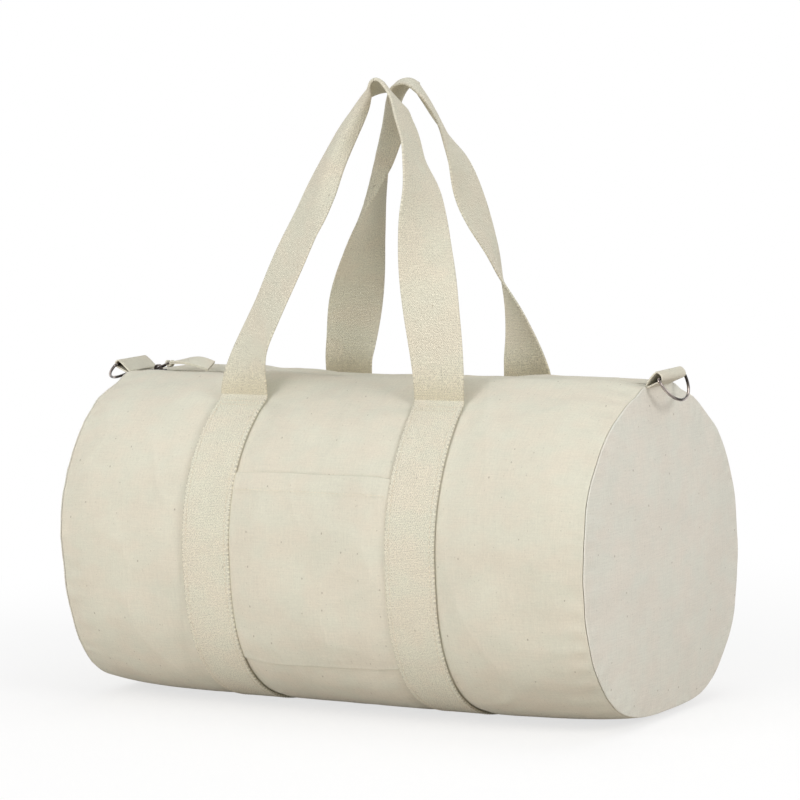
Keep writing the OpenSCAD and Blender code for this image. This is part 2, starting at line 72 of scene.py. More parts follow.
BACK_COURSE = [
    (-0.854, 1, 0, 0), (-0.853, 0.995, 0.03, 1), (-0.838, 0.965, 0.07, 3), (-0.8, 0.93, 0.125, 8),
    (-0.735, 0.88, 0.228, 26), (-0.655, 0.81, 0.33, 50), (-0.565, 0.725, 0.432, 73),
    (-0.466, 0.62, 0.53, 89), (-0.38, 0.5, 0.633, 97), (-0.3, 0.375, 0.732, 100), (-0.23, 0.28, 0.8, 100),
    (-0.15, 0.185, 0.875, 101), (-0.06, 0.095, 0.95, 103), (0.04, 0.03, 0.984, 107), (0.125, 0, 0.997, 110),
    (0.21, 0.012, 0.99, 113), (0.275, 0.048, 0.958, 117), (0.332, 0.1, 0.919, 120),
    (0.398, 0.19, 0.858, 121), (0.457, 0.28, 0.796, 113), (0.522, 0.375, 0.73, 101),
    (0.574, 0.5, 0.632, 91), (0.64, 0.62, 0.533, 94), (0.72, 0.72, 0.434, 107), (0.787, 0.81, 0.335, 121),
    (0.87, 0.88, 0.236, 138), (0.924, 0.935, 0.138, 155), (0.95, 0.975, 0.06, 172),
    (0.954, 0.995, 0.03, 177), (0.955, 1, 0, 180),
]


# ---------------------------------------------------------------- sizes and colours

def length(name, text, default):
    return bpy.props.FloatProperty(name=name, description=text, default=default, min=0.0, unit="LENGTH",
                                   subtype="DISTANCE", precision=4)


def colour(name, text, default):
    return bpy.props.FloatVectorProperty(name=name, description=text, default=default, size=3, min=0.0,
                                         max=1.0, subtype="COLOR")


class BarrelBagSizes(bpy.types.PropertyGroup):
    body_length: length("Body length", "Length of the barrel from end seam to end seam", 0.456)
    body_depth: length("Body depth", "Depth of the barrel, front to back", 0.250)
    body_height: length("Body height", "Height of the canvas barrel", 0.248)
    canvas_thickness: length("Canvas", "Thickness of the canvas", 0.0012)
    web_width: length("Webbing width", "Width of the webbing", 0.040)
    web_thickness: length("Webbing thickness", "Thickness of the webbing", 0.002)
    strap_place: length("Webbing place", "Middle of the bag to the middle of each band", 0.089)
    foot_reach: length("Handle feet", "Middle of the bag to the feet of the handles", 0.062)
    handle_rise: length("Handle rise", "Height of the handles above their feet", 0.234)
    pocket_top: length("Pocket top", "Height of the pocket's open edge", 0.184)
    pocket_low: length("Pocket bottom", "Height of the pocket's lower seam", 0.045)
    pocket_hem: length("Pocket hem", "Depth of the hem along the pocket's open edge", 0.014)


class BarrelBagColours(bpy.types.PropertyGroup):
    canvas: colour("Canvas", "Unbleached cotton canvas", (0.727, 0.699, 0.590))
    webbing: colour("Webbing", "Natural cotton webbing", (0.770, 0.738, 0.612))
    tape: colour("Zip tape", "Cotton tape beside the teeth", (0.640, 0.560, 0.430))
    thread: colour("Thread", "Sewing thread", (0.780, 0.715, 0.590))
    seed: colour("Seed flecks", "Husk flecks in the cotton", (0.235, 0.180, 0.125))
    metal: colour("Metal", "Dark nickel of the zip and the rings", (0.058, 0.050, 0.046))


# ---------------------------------------------------------------- the shape of the barrel

def smooth(t):
    t = np.clip(t, 0, 1)
    return t * t * (3 - 2 * t)


def noise(u, v, size, seed):
    """Smooth random field from -1 to 1, in cells of the given size."""
    table = np.random.default_rng(seed).uniform(-1, 1, (128, 128))
    x, y = np.asarray(u) / size + 37.3, np.asarray(v) / size + 51.7
    i, j = np.floor(x).astype(int), np.floor(y).astype(int)
    s, t = x - i, y - j
    s, t = s ** 3 * (s * (6 * s - 15) + 10), t ** 3 * (t * (6 * t - 15) + 10)
    i0, i1, j0, j1 = i % 128, (i + 1) % 128, j % 128, (j + 1) % 128
    return ((table[i0, j0] * (1 - s) + table[i1, j0] * s) * (1 - t)
            + (table[i0, j1] * (1 - s) + table[i1, j1] * s) * t)


def bell(t, width):
    """1 where t is 0, and next to nothing two widths away."""
    return np.exp(-(t / width) ** 2)


def creases(u, v, size, seed):
    """Field of narrow soft ridges, 0 to 1, as crumpled cloth keeps."""
    return (1 - np.abs(noise(u, v, size, seed))) ** 4


class Barrel:
    """The shape that the source gives the bag, in millimetres."""

    def __init__(self, sizes):
        mm = {k: getattr(sizes, k) / MM for k in sizes.__annotations__}
        self.mm = mm
        self.half_len, self.half_w = mm["body_length"] / 2, mm["body_depth"] / 2
        self.press, self.end_draw, self.swell = 1.2, 5.6, 9.0
        self.canvas_t, self.web_t, self.web = mm["canvas_thickness"], mm["web_thickness"], mm["web_width"] / 2
        self.half_h = (mm["body_height"] + self.press) / 2
        self.base_z = self.web_t + LAY_GAP
        self.mid_z = self.base_z - self.press + self.half_h
        self.zip_z = self.base_z + mm["body_height"] - 4
        self.top_power, self.low_power = 2.05, 2.75
        self.cord_y, self.tape_w, self.tape_t = 4.2, 13.0, 0.8
        self.tape_z = self.zip_z - self.canvas_t - LAY_GAP - self.tape_t
        self.chain_z = self.tape_z + self.tape_t / 2
        self.valley_in = self.cord_y + self.tape_w + LAY_GAP
        self.valley_out = self.valley_in * 2.2
        self.strap_x = mm["strap_place"]
        self.foot_angle = self.side_angle(mm["foot_reach"])
        fold = LAY_GAP + self.web_t + FOLD_GAP + self.web_t / 2
        self.foot = self.skin(np.array(self.foot_angle), fold, np.array(self.strap_x))
        self.turns = np.linspace(0, 360, 14401)
        self.round = run_along(self.skin(self.turns, 0, np.zeros_like(self.turns)))
        self.girth = self.round[-1]
        self.lip = float(self.place(self.side_angle(7.0)))

    def side_angle(self, y):
        return math.degrees(math.asin((y / self.half_w) ** (self.top_power / 2)))

    def height_angle(self, z):
        """Angle from the top at which the side of the barrel is z high."""
        if z > self.mid_z:
            return math.degrees(math.acos(((z - self.mid_z) / self.half_h) ** (self.top_power / 2)))
        return 180 - math.degrees(math.acos(((self.mid_z - z) / self.half_h) ** (self.low_power / 2)))

    def place(self, a):
        """Distance round the barrel from the top, by angle."""
        return np.interp(a, self.turns, self.round)

    def angle(self, s):
        return np.interp(s, self.round, self.turns)

    def draw_in(self, x):
        return 1 - self.end_draw / self.half_h * (np.abs(x) / self.half_len) ** 6

    def skin(self, a, d, x):
        """A point on the skin of the barrel: a from the top towards the back, d outside it."""
        a = np.radians(a)
        up = np.cos(a)
        power = np.where(up < 0, self.low_power, self.top_power)

        def bow(v):
            return np.sign(v) * np.abs(v) ** (2 / power)

        y = (self.half_w * self.draw_in(x) + d) * bow(np.sin(a))
        z = self.mid_z + (self.half_h * self.draw_in(x) + d) * bow(up)
        far = np.clip((np.abs(y) - self.valley_in) / (self.valley_out - self.valley_in), 0, 1)
        hold = np.where(up > 0, np.cos(np.pi / 2 * far) ** 2, 0)
        z = np.maximum(self.base_z - d, z + (self.zip_z + d - z) * hold)
        return np.stack(np.broadcast_arrays(x, y, z), -1)

    def band_x(self, side, a):
        course = [BACK_COURSE, FRONT_COURSE]
        ends = [self.strap_x * c[0 if side < 0 else -1][0] for c in course]
        foot_x = np.where(np.asarray(a) > 180, ends[1], ends[0])
        rise = np.maximum(0, (90 - np.minimum(a, 360 - a)) / (90 - self.foot_angle))
        return side * self.strap_x + (foot_x - side * self.strap_x) * np.minimum(rise, 1.15) ** 3

    def off_webbing(self, x, a):
        """Distance along the cloth from the nearest band of webbing, below zero under it."""
        past = self.place(np.full_like(a, self.foot_angle)) - self.place(np.minimum(a, 360 - a))
        beside = np.minimum(np.abs(x - self.band_x(-1, a)), np.abs(x - self.band_x(1, a))) - self.web
        out = np.hypot(np.maximum(beside, 0), np.maximum(past, 0))
        return np.where(out > 0, out, np.maximum(beside, past))

    def lift(self, x, a):
        """How far the canvas stands off its plain form: full between the bands, drawn in under them."""
        s = self.place(a)
        off = self.off_webbing(x, a)
        end = self.half_len - np.abs(x)
        # shares near the top and clear of the underside, and the distance round from the zip
        top = np.clip(1 - np.abs(np.abs(s - self.girth / 2) - self.girth / 2) / 60, 0, 1)
        base = smooth((np.abs(s - self.girth / 2) - 66) / 40)
        t = np.minimum(s, self.girth - s)
        puff = 2.3 * smooth(off / 26) * (1 - smooth((26 - end) / 26) * 0.7) - 0.35 * bell(off, 3.5)
        puff = puff * (1 - 0.75 * top ** 2)
        puff = np.where(base < 1, puff * base + (1 - base) * 1.95 * smooth(off / 12), puff)
        # beside the zip, a raised lip in front and a sag behind
        between = smooth((104 - np.abs(x - 12)) / 60)
        leftward = smooth((-114 - x) / 26) * (0.8 + 0.45 * noise(x, 0 * x, 34, 47))
        lip = smooth((t - 7) / 7) * (1 - smooth((t - 20) / 36)) * (2.7 - 1.5 * between - 2.5 * leftward)
        hang = smooth((t - 14) / 12) * (1 - smooth((t - 62) / 50)) * (-1.5 - 5.0 * between + 1.2 * leftward)
        hang = hang + (2.6 * leftward * smooth((t - 7) / 7) * (1 - smooth((t - 20) / 30))
                       * smooth((end - 4) / 30))
        puff = puff + np.where(a > 180, lip * smooth((end - 4) / 30), hang)
        # creases that die out at the webbing, the underside and the top, and puckers along the end seams
        calm = smooth((off + 1) / 10) * (0.25 + 0.75 * base) * (1 - 0.5 * top)
        broad = 0.95 * noise(x, s, 74, 3) + 0.75 * noise(x + 0.6 * s, s - 0.5 * x, 36, 5)
        small = 0.2 * noise(x, s * 1.3, 15, 8) + 0.75 * creases(x + 0.4 * s, s - 0.3 * x, 58, 11)
        small = small + 0.32 * creases(x - 0.5 * s, s + 0.3 * x, 31, 13) - 0.4
        pucker = (0.75 * np.sin(2 * np.pi * (s / 17 + 0.45 * noise(x * 0.3, s, 40, 17)))
                  * (0.6 + 0.6 * noise(x * 0, s, 55, 19))) * np.exp(-end / 16)
        return (puff + calm * (broad + small) + pucker * smooth((end - 1) / 5) * (0.3 + 0.7 * base)
                + self.rim_shift(x, a) * np.exp(-end / 45) + self.tug(x, a))

    def settled(self, x, s):
        """The lift, fading out towards the two long edges beside the zip."""
        a = self.angle(s)
        edge = np.minimum(s, self.girth - s) - self.lip
        return self.lift(x, a) * smooth(edge / np.where(a > 180, 5, 12))

    def rim_shift(self, x, a):
        """How far an end seam stands off its round: out behind on the right, in at the front on the left."""
        right = np.interp(a, [0, 40, 75, 110, 140, 165, 180, 360], [0, 0, 2.0, 2.2, 3.3, 1.6, 0, 0])
        left = np.interp(a, [0, 200, 230, 270, 300, 330, 360], [0, 0, -1.0, -1.3, -1.0, 0, 0])
        return np.where(np.asarray(x) > 0, right, left)

    def tug(self, x, a):
        """Creases that the feet of the handles pull into the canvas below them."""
        place = np.minimum(self.place(a), self.girth - self.place(a)) - self.place(self.foot_angle)
        depth = 0
        for side in (-1, 1):
            off = np.abs(x - self.band_x(side, a)) - self.web
            line = place - 5 - 0.16 * off
            depth = depth + ((0.7 * bell(line - 11, 7) - bell(line, 5))
                             * np.exp(-np.maximum(off, 0) / 24) * smooth((off + 2) / 6))
        return depth

    def meander(self, side, s):
        """How far the end seam wanders outward from its plain line."""
        share = s / self.girth
        bow = 2.0 * bell(share - 0.25, 0.1) if side > 0 else -2.3 * bell(share - 0.735, 0.08)
        return bow + 0.9 * noise(s, side * 40.0, 46, 91) + 0.35 * noise(s, side * 40.0, 17, 92)


# ---------------------------------------------------------------- meshes

RIM_STEPS = 3               # rows of points round the edge of a sheet
END_T = 0.9                 # thickness of an end panel, mm
STITCH_SINK = 0.08          # how deep a stitch lies in the cloth, mm
TURNED = [0, 3, 2, 1]       # the corners of a quad the other way round


def unit(v):
    return v / np.maximum(np.linalg.norm(v, axis=-1, keepdims=True), 1e-9)


def square_to(v, axis):
    """The part of v that is square to a unit axis, as a unit vector."""
    return unit(v - (v * axis).sum(-1, keepdims=True) * axis)


def run_along(path):
    """Distance along a path from its start, at each of its points."""
    return np.concatenate([[0], np.cumsum(np.linalg.norm(np.diff(path, axis=0), axis=1))])


def normals(grid, ring=False):
    """Unit normals of a grid of points, rows crossed with columns."""
    across = (np.roll(grid, -1, 1) - np.roll(grid, 1, 1)) / 2 if ring else np.gradient(grid, axis=1)
    return unit(np.cross(np.gradient(grid, axis=0), across))


def wrap(a, b, axis=1):
    """Quads between rows of points that close on themselves along the axis."""
    return np.stack([a, np.roll(a, -1, axis), np.roll(b, -1, axis), b], -1).reshape(-1, 4)


class Pile:
    """Vertices, faces and cloth coordinates gathered for one object."""

    def __init__(self):
        self.points, self.cloth, self.faces, self.count = [], [], [], 0

    def add(self, points, faces, cloth=None):
        points = np.asarray(points, float).reshape(-1, 3)
        self.points.append(points)
        self.cloth.append(points if cloth is None else np.asarray(cloth, float).reshape(-1, 3))
        self.faces.append(np.asarray(faces, int) + self.count)
        self.count += len(points)
        return self

    def shell(self, grid, cloth, thick, flip=False, ring=False, hub=False):
        """A sheet below a grid of outer points, with rounded edges; hub closes the middle of a ring."""
        n, m = grid.shape[:2]
        under = n * m
        up = normals(grid, ring) * (-1 if flip else 1)
        thick = np.broadcast_to(np.asarray(thick, float), (n, m))[..., None]
        inner = grid - up * thick
        index = np.arange(under).reshape(n, m)
        a, b = index[:-1], index[1:]
        out = np.zeros_like(grid)
        out[0] += unit(grid[0] - grid[1])
        out[-1] += unit(grid[-1] - grid[-2])
        if ring:
            quads = wrap(a, b)[:, TURNED]
            loops = [index[0, ::-1]] if hub else [index[0, ::-1], index[-1]]
        else:
            quads = np.stack([a[:, :-1], b[:, :-1], b[:, 1:], a[:, 1:]], -1).reshape(-1, 4)
            loops = [np.concatenate([index[:-1, 0], index[-1, :-1], index[:0:-1, -1], index[0, :0:-1]])]
            out[:, 0] += unit(grid[:, 0] - grid[:, 1])
            out[:, -1] += unit(grid[:, -1] - grid[:, -2])
        outer, inner, out, up, half, cloth = (
            v.reshape(-1, v.shape[-1]) for v in (grid, inner, out, up, thick / 2, cloth))
        points, maps, count = [outer, inner], [cloth, cloth], 2 * under
        faces = [quads, quads[:, ::-1] + under]
        if hub:
            last, middle = index[-1], np.full(m, count)
            points.append(np.array([outer[last].mean(0), inner[last].mean(0)]))
            maps.append(np.array([cloth[last].mean(0)] * 2))
            faces.append(np.stack([last, middle, middle, np.roll(last, -1)], -1))
            faces.append(np.stack([np.roll(last, -1) + under, middle + 1, middle + 1, last + under], -1))
            count += 2
        for loop in loops:
            turn = square_to(out[loop], up[loop])
            rows = [loop]
            for step in range(1, RIM_STEPS + 1):
                w = math.pi * step / (RIM_STEPS + 1)
                points.append(outer[loop] + half[loop] * (math.sin(w) * turn - (1 - math.cos(w)) * up[loop]))
                maps.append(cloth[loop])
                rows.append(np.arange(count, count + len(loop)))
                count += len(loop)
            rows.append(loop + under)
            for near, far in zip(rows[:-1], rows[1:]):
                faces.append(np.stack([np.roll(near, -1), near, far, np.roll(far, -1)], -1))
        faces = np.concatenate(faces)
        return self.add(np.concatenate(points), faces[:, ::-1] if flip else faces, np.concatenate(maps))

    def hoop(self, path, radius, sides):
        """A round wire along a path that closes on itself."""
        n = len(path)
        way = unit(np.roll(path, -1, 0) - np.roll(path, 1, 0))
        side = np.zeros_like(path)
        start = np.array([0, 0, 1.0]) if abs(way[0][2]) < 0.9 else np.array([1.0, 0, 0])
        for i in range(n):
            side[i] = start = square_to(start, way[i])
        # spread the twist that is left over the whole loop
        last = square_to(start, way[0])
        twist = math.atan2(np.dot(np.cross(last, side[0]), way[0]), np.dot(last, side[0]))
        turn = np.arange(n)[:, None] / n * twist
        side = side * np.cos(turn) + np.cross(way, side) * np.sin(turn)
        w = np.linspace(0, 2 * np.pi, sides, endpoint=False)[:, None]
        ring = path[:, None] + radius * (np.cos(w) * side[:, None] + np.sin(w) * np.cross(way, side)[:, None])
        index = np.arange(n * sides).reshape(n, sides)
        return self.add(ring, wrap(index, np.roll(index, -1, 0)),
                        flat_coords(radius * w.T, run_along(path)[:, None]))

    def loft(self, rings):
        """Skin over rings of points (rings, points, 3), with flat ends."""
        rings = np.asarray(rings, float)
        n, m = rings.shape[:2]
        index = np.arange(n * m).reshape(n, m)
        first, last, hub = index[0], index[-1], np.full(m, n * m)
        faces = [wrap(index[:-1], index[1:]), np.stack([np.roll(first, -1), first, hub, hub], -1),
                 np.stack([last, np.roll(last, -1), hub + 1, hub + 1], -1)]
        return self.add(np.concatenate([rings.reshape(-1, 3), rings[[0, -1]].mean(1)]), np.concatenate(faces))

    def box(self, low, high, edge, steps=3):
        """Box with rounded edges, lofted upwards."""
        low, high = np.asarray(low, float), np.asarray(high, float)
        w, tilts = (np.radians(np.linspace(start, 90, steps + 1)) for start in (0, 18))
        w = np.concatenate([w + quarter * np.pi / 2 for quarter in range(4)])
        corner = np.stack([np.cos(w), np.sin(w)], -1)
        signs = np.repeat([(1, 1), (-1, 1), (-1, -1), (1, -1)], steps + 1, axis=0)
        mid, half = (low + high) / 2, (high - low) / 2
        rings = []
        for way, ends in ((1, tilts), (-1, tilts[::-1])):
            for t in ends:
                z = (low if way > 0 else high)[2] + way * edge * (1 - math.cos(t))
                flat = mid[:2] + signs * (half[:2] - edge) + corner * (edge - edge * (1 - math.sin(t)))
                rings.append(np.concatenate([flat, np.full((len(flat), 1), z)], 1))
        return self.loft(rings)

    def stitches(self, path, up, pitch=3.6, long=2.5, thick=0.34):
        """A row of sewn stitches along a path that lies on cloth; up is the cloth's normal there."""
        run = run_along(path)
        starts = np.arange(pitch / 2, run[-1] - long, pitch)
        s = starts[:, None] + long * np.array([0, 0.1, 0.5, 0.9, 1.0])
        mid, top = (np.stack([np.interp(s, run, v[:, k]) for k in range(3)], -1) for v in (path, up))
        top = unit(top)
        heights = np.array([-0.6, 0.35, 1.0, 0.35, -0.6]) * thick
        sizes = np.array([0.35, 0.85, 1.0, 0.85, 0.35]) * thick
        mid = mid + top * (heights[:, None] - STITCH_SINK)
        way = unit(mid[:, -1] - mid[:, 0])[:, None]
        side = unit(np.cross(way, top))
        w = np.linspace(0, 2 * np.pi, 6, endpoint=False)[:, None]
        ring = mid[:, :, None] + sizes[:, None, None] * (
            np.cos(w) * side[:, :, None] + np.sin(w) * np.cross(side, way)[:, :, None])
        index = np.arange(len(starts) * 30).reshape(-1, 5, 6)
        caps = [index[:, 0][:, [0, 1, 2, 3]], index[:, 0][:, [0, 3, 4, 5]],
                index[:, -1][:, [3, 2, 1, 0]], index[:, -1][:, [5, 4, 3, 0]]]
        return self.add(ring, np.concatenate([wrap(index[:, :-1], index[:, 1:], 2)[:, TURNED], *caps]))

    def build(self, name, material, body, slot, *nodes, sharp=None, **sheet):
        """Make the piece: its body and replaced nodes. slot is not used, and nor is sheet, how a sheet was cut
        and is held.
        """
        mesh = bpy.data.meshes.new(name)
        faces = [[v for k, v in enumerate(face) if k == 0 or v != face[k - 1]]
                 for face in np.concatenate(self.faces).tolist()]
        mesh.from_pydata((np.concatenate(self.points) * MM).tolist(), [], faces)
        cloth = mesh.attributes.new("cloth", "FLOAT_VECTOR", "POINT")
        cloth.data.foreach_set("vector", (np.concatenate(self.cloth) * MM).astype(np.float32).ravel())
        mesh.shade_smooth()
        if sharp:
            mesh.set_sharp_from_angle(angle=math.radians(sharp))
        mesh.materials.append(material)
        obj = bpy.data.objects.new(name, mesh)
        bpy.context.scene.collection.objects.link(obj)
        if body:
            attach(obj, body)
        if nodes:
            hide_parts(*nodes)
        return obj


def flat_coords(u, v, mark=0.0):
    """Cloth coordinates: across, along, and a mark that a material may read."""
    return np.stack(np.broadcast_arrays(*(np.asarray(c, float) for c in (u, v, mark))), -1)


def curve_through(rows, step):
    """Points on a Catmull-Rom curve through the rows."""
    rows = np.asarray(rows, float)
    pad = np.concatenate([rows[:1], rows, rows[-1:]])
    out = []
    for a, b, c, d in zip(pad[:-3], pad[1:-2], pad[2:-1], pad[3:]):
        for t in np.arange(0, 1, step):
            out.append(b + 0.5 * t * (c - a + t * (2 * a - 5 * b + 4 * c - d + t * (3 * (b - c) + d - a))))
    out.append(rows[-1])
    return np.array(out)


def respaced(rows, step, keep=3):
    """The same path with points an even step apart, measured over the columns to keep."""
    run = run_along(rows[:, :keep])
    places = np.linspace(0, run[-1], max(2, int(round(run[-1] / step))) + 1)
    return np.stack([np.interp(places, run, rows[:, k]) for k in range(rows.shape[1])], -1)


# ---------------------------------------------------------------- materials

class Nodes:
    """Places shader nodes and links them, one call a node."""

    def __init__(self, tree):
        self.tree = tree
        self.at = 0

    def __call__(self, kind, *values, **named):
        node = self.tree.nodes.new("ShaderNode" + kind)
        node.location = (self.at * 30 % 1800, -(self.at * 30 // 1800) * 300)
        self.at += 6
        sockets = named.pop("sockets", {})
        for key, value in named.items():
            setattr(node, key, value)
        for key, value in list(enumerate(values)) + list(sockets.items()):
            if value is not None:
                self.give(node, key, value)
        return node

    def give(self, node, key, value):
        """Link a socket to an input, or set the input to a plain value."""
        if isinstance(value, bpy.types.NodeSocket):
            self.tree.links.new(value, node.inputs[key])
        else:
            node.inputs[key].default_value = value

    def math(self, operation, *values, clamp=False):
        return self("Math", *values, operation=operation, use_clamp=clamp).outputs[0]

    def add(self, a, b):
        return self.math("ADD", a, b)

    def sub(self, a, b):
        return self.math("SUBTRACT", a, b)

    def mul(self, a, b, **more):
        return self.math("MULTIPLY", a, b, **more)

    def fused(self, a, b, c):
        """a times b, plus c."""
        return self.math("MULTIPLY_ADD", a, b, c)

    def seen(self):
        """1 for the rays that see the white stage itself: from the camera, off metal or through glass."""
        rays = self("LightPath").outputs
        return self.math("MAXIMUM", self.math("MAXIMUM", rays["Is Camera Ray"], rays["Is Glossy Ray"]),
                         rays["Is Transmission Ray"])

    def mix(self, factor, a, b, blend="MIX"):
        node = self("Mix", data_type="RGBA", blend_type=blend, clamp_factor=True)
        self.give(node, 0, factor)
        for key, colour in ((6, a), (7, b)):
            self.give(node, key, (*colour, 1) if isinstance(colour, tuple) and len(colour) == 3 else colour)
        return node.outputs[2]

    def scaled(self, vector, by):
        return self("VectorMath", vector, by, operation="MULTIPLY").outputs[0]

    def noise(self, vector, scale, detail=2.0, roughness=0.5):
        return self("TexNoise", noise_dimensions="3D", sockets={
            "Vector": vector, "Scale": scale, "Detail": detail, "Roughness": roughness}).outputs[0]

    def span(self, value, low, high, to_low=0.0, to_high=1.0):
        return self("MapRange", value, low, high, to_low, to_high, interpolation_type="SMOOTHSTEP").outputs[0]


def group(name, inputs, outputs):
    tree = bpy.data.node_groups.new(name, "ShaderNodeTree")
    for kind, label, default in inputs:
        socket = tree.interface.new_socket(name=label, in_out="INPUT", socket_type="NodeSocket" + kind)
        if default is not None:
            socket.default_value = default
    for kind, label in outputs:
        tree.interface.new_socket(name=label, in_out="OUTPUT", socket_type="NodeSocket" + kind)
    return tree, Nodes(tree), tree.nodes.new("NodeGroupInput"), tree.nodes.new("NodeGroupOutput")


def woven_group():
    """Plain weave of two sets of yarns, with the thick and thin places of spun cotton."""
    tree, n, given, out = group(
        "Woven yarns",
        [("Vector", "Cloth", None), ("Float", "Yarns across", 1500.0), ("Float", "Yarns along", 1500.0),
         ("Float", "Slub", 0.5), ("Float", "Twill", 0.0)],
        [("Float", "Height"), ("Float", "Gap"), ("Float", "Streak")])
    wander = n.noise(given.outputs[0], 260.0, 1.0)
    wander = n.mul(n.sub(wander, 0.5), 0.9)
    parts = n("SeparateXYZ", given.outputs[0]).outputs
    waves = []
    lean = n.mul(n.mul(parts[1], given.outputs[2]), given.outputs[4])
    for k in (0, 1):
        turns = n.add(n.mul(parts[k], given.outputs[1 + k]), wander)
        turns = n.add(turns, lean) if k == 0 else turns
        waves.append(n.math("SINE", n.mul(turns, math.pi)))
    crowns = [n.math("ABSOLUTE", w) for w in waves]
    signs = [n.math("SIGN", w) for w in waves]
    over = n.mul(crowns[0], n.fused(n.mul(signs[0], waves[1]), 0.5, 0.5))
    under = n.mul(crowns[1], n.fused(n.mul(signs[1], waves[0]), -0.5, 0.5))
    weave = n.math("MAXIMUM", over, under)
    yarns = [n.noise(n.scaled(given.outputs[0], by), 1.0, 2.0, 0.6)
             for by in ((1150.0, 55.0, 1.0), (60.0, 1050.0, 1.0))]
    streak = n.sub(n.add(yarns[0], yarns[1]), 1.0)
    slub = n.mul(streak, given.outputs[3])
    link = tree.links.new
    link(n.add(weave, slub), out.inputs[0])
    link(n.span(weave, 0.55, 0.15), out.inputs[1])
    link(streak, out.inputs[2])
    return tree


def cotton_group():
    """Colour of undyed cotton: soft mottling, warmer and greener patches, and dark seed flecks."""
    tree, n, given, out = group(
        "Undyed cotton",
        [("Vector", "Cloth", None), ("Float", "Flecks", 45.0), ("Float", "Seed", 0.0),
         ("Float", "Grain size", 620.0)],
        [("Float", "Mottle"), ("Float", "Warmth"), ("Float", "Fleck"), ("Float", "Grain")])
    shift = n("CombineXYZ", given.outputs[2], 0.0, given.outputs[2]).outputs[0]
    moved = n("VectorMath", given.outputs[0], shift, operation="ADD").outputs[0]
    broad, fine = n.noise(moved, 22.0, 3.0, 0.55), n.noise(moved, 210.0, 3.0, 0.6)
    warmth = n.noise(n.scaled(moved, (1.0, 1.3, 1.0)), 38.0, 2.0, 0.5)
    husks = []
    for finer, most, strength in ((1.0, 0.045, 1.0), (2.6, 0.07, 0.42)):
        cells = n("TexVoronoi", voronoi_dimensions="2D", feature="F1", sockets={
            "Vector": n.scaled(moved, (finer, finer * 0.7, 1.0)), "Scale": given.outputs[1], "Randomness": 1.0})
        ragged = n.fused(n.noise(moved, 2400.0, 1.0), 0.02, cells.outputs["Distance"])
        chance = n("SeparateColor", cells.outputs["Color"]).outputs[0]
        reach = n.span(chance, 0.25, 1.0, 0.0, most)
        spot = n.span(n.sub(reach, n.sub(ragged, 0.01)), 0.0, 0.02)
        husks.append(n.mul(spot, strength))
    link = tree.links.new
    link(n.fused(n.sub(fine, 0.5), 0.5, broad), out.inputs[0])
    link(warmth, out.inputs[1])
    link(n.math("MAXIMUM", *husks), out.inputs[2])
    link(n.sub(n.noise(moved, given.outputs[3], 3.0, 0.75), 0.5), out.inputs[3])
    return tree


def wear_group():
    """Uneven polish of handled metal: rubbed places, brightened as painted highlights in place of reflections,
    fine scratches and a little grime.
    """
    tree, n, given, out = group(
        "Handled metal", [("Vector", "Place", None)],
        [("Float", "Rubbed wear and highlight"), ("Float", "Scratch"), ("Float", "Grime")])
    place = given.outputs[0]
    link = tree.links.new
    link(n.span(n.noise(n.scaled(place, (260.0, 55.0, 1.0)), 1.0, 1.0), 0.44, 0.6), out.inputs[0])
    link(n.span(n.noise(n.scaled(place, (900.0, 4200.0, 2600.0)), 1.0, 2.0), 0.52, 0.74), out.inputs[1])
    link(n.span(n.noise(place, 620.0, 3.0, 0.7), 0.5, 0.72), out.inputs[2])
    return tree


def emptied(owner):
    """Placer of nodes for a material or world whose tree starts empty."""
    owner.use_nodes = True
    owner.node_tree.nodes.clear()
    return Nodes(owner.node_tree)


def material(name):
    mat = bpy.data.materials.new(name)
    n = emptied(mat)
    shader, out = n("BsdfPrincipled"), n("OutputMaterial")
    mat.node_tree.links.new(shader.outputs[0], out.inputs[0])
    return mat, n, shader


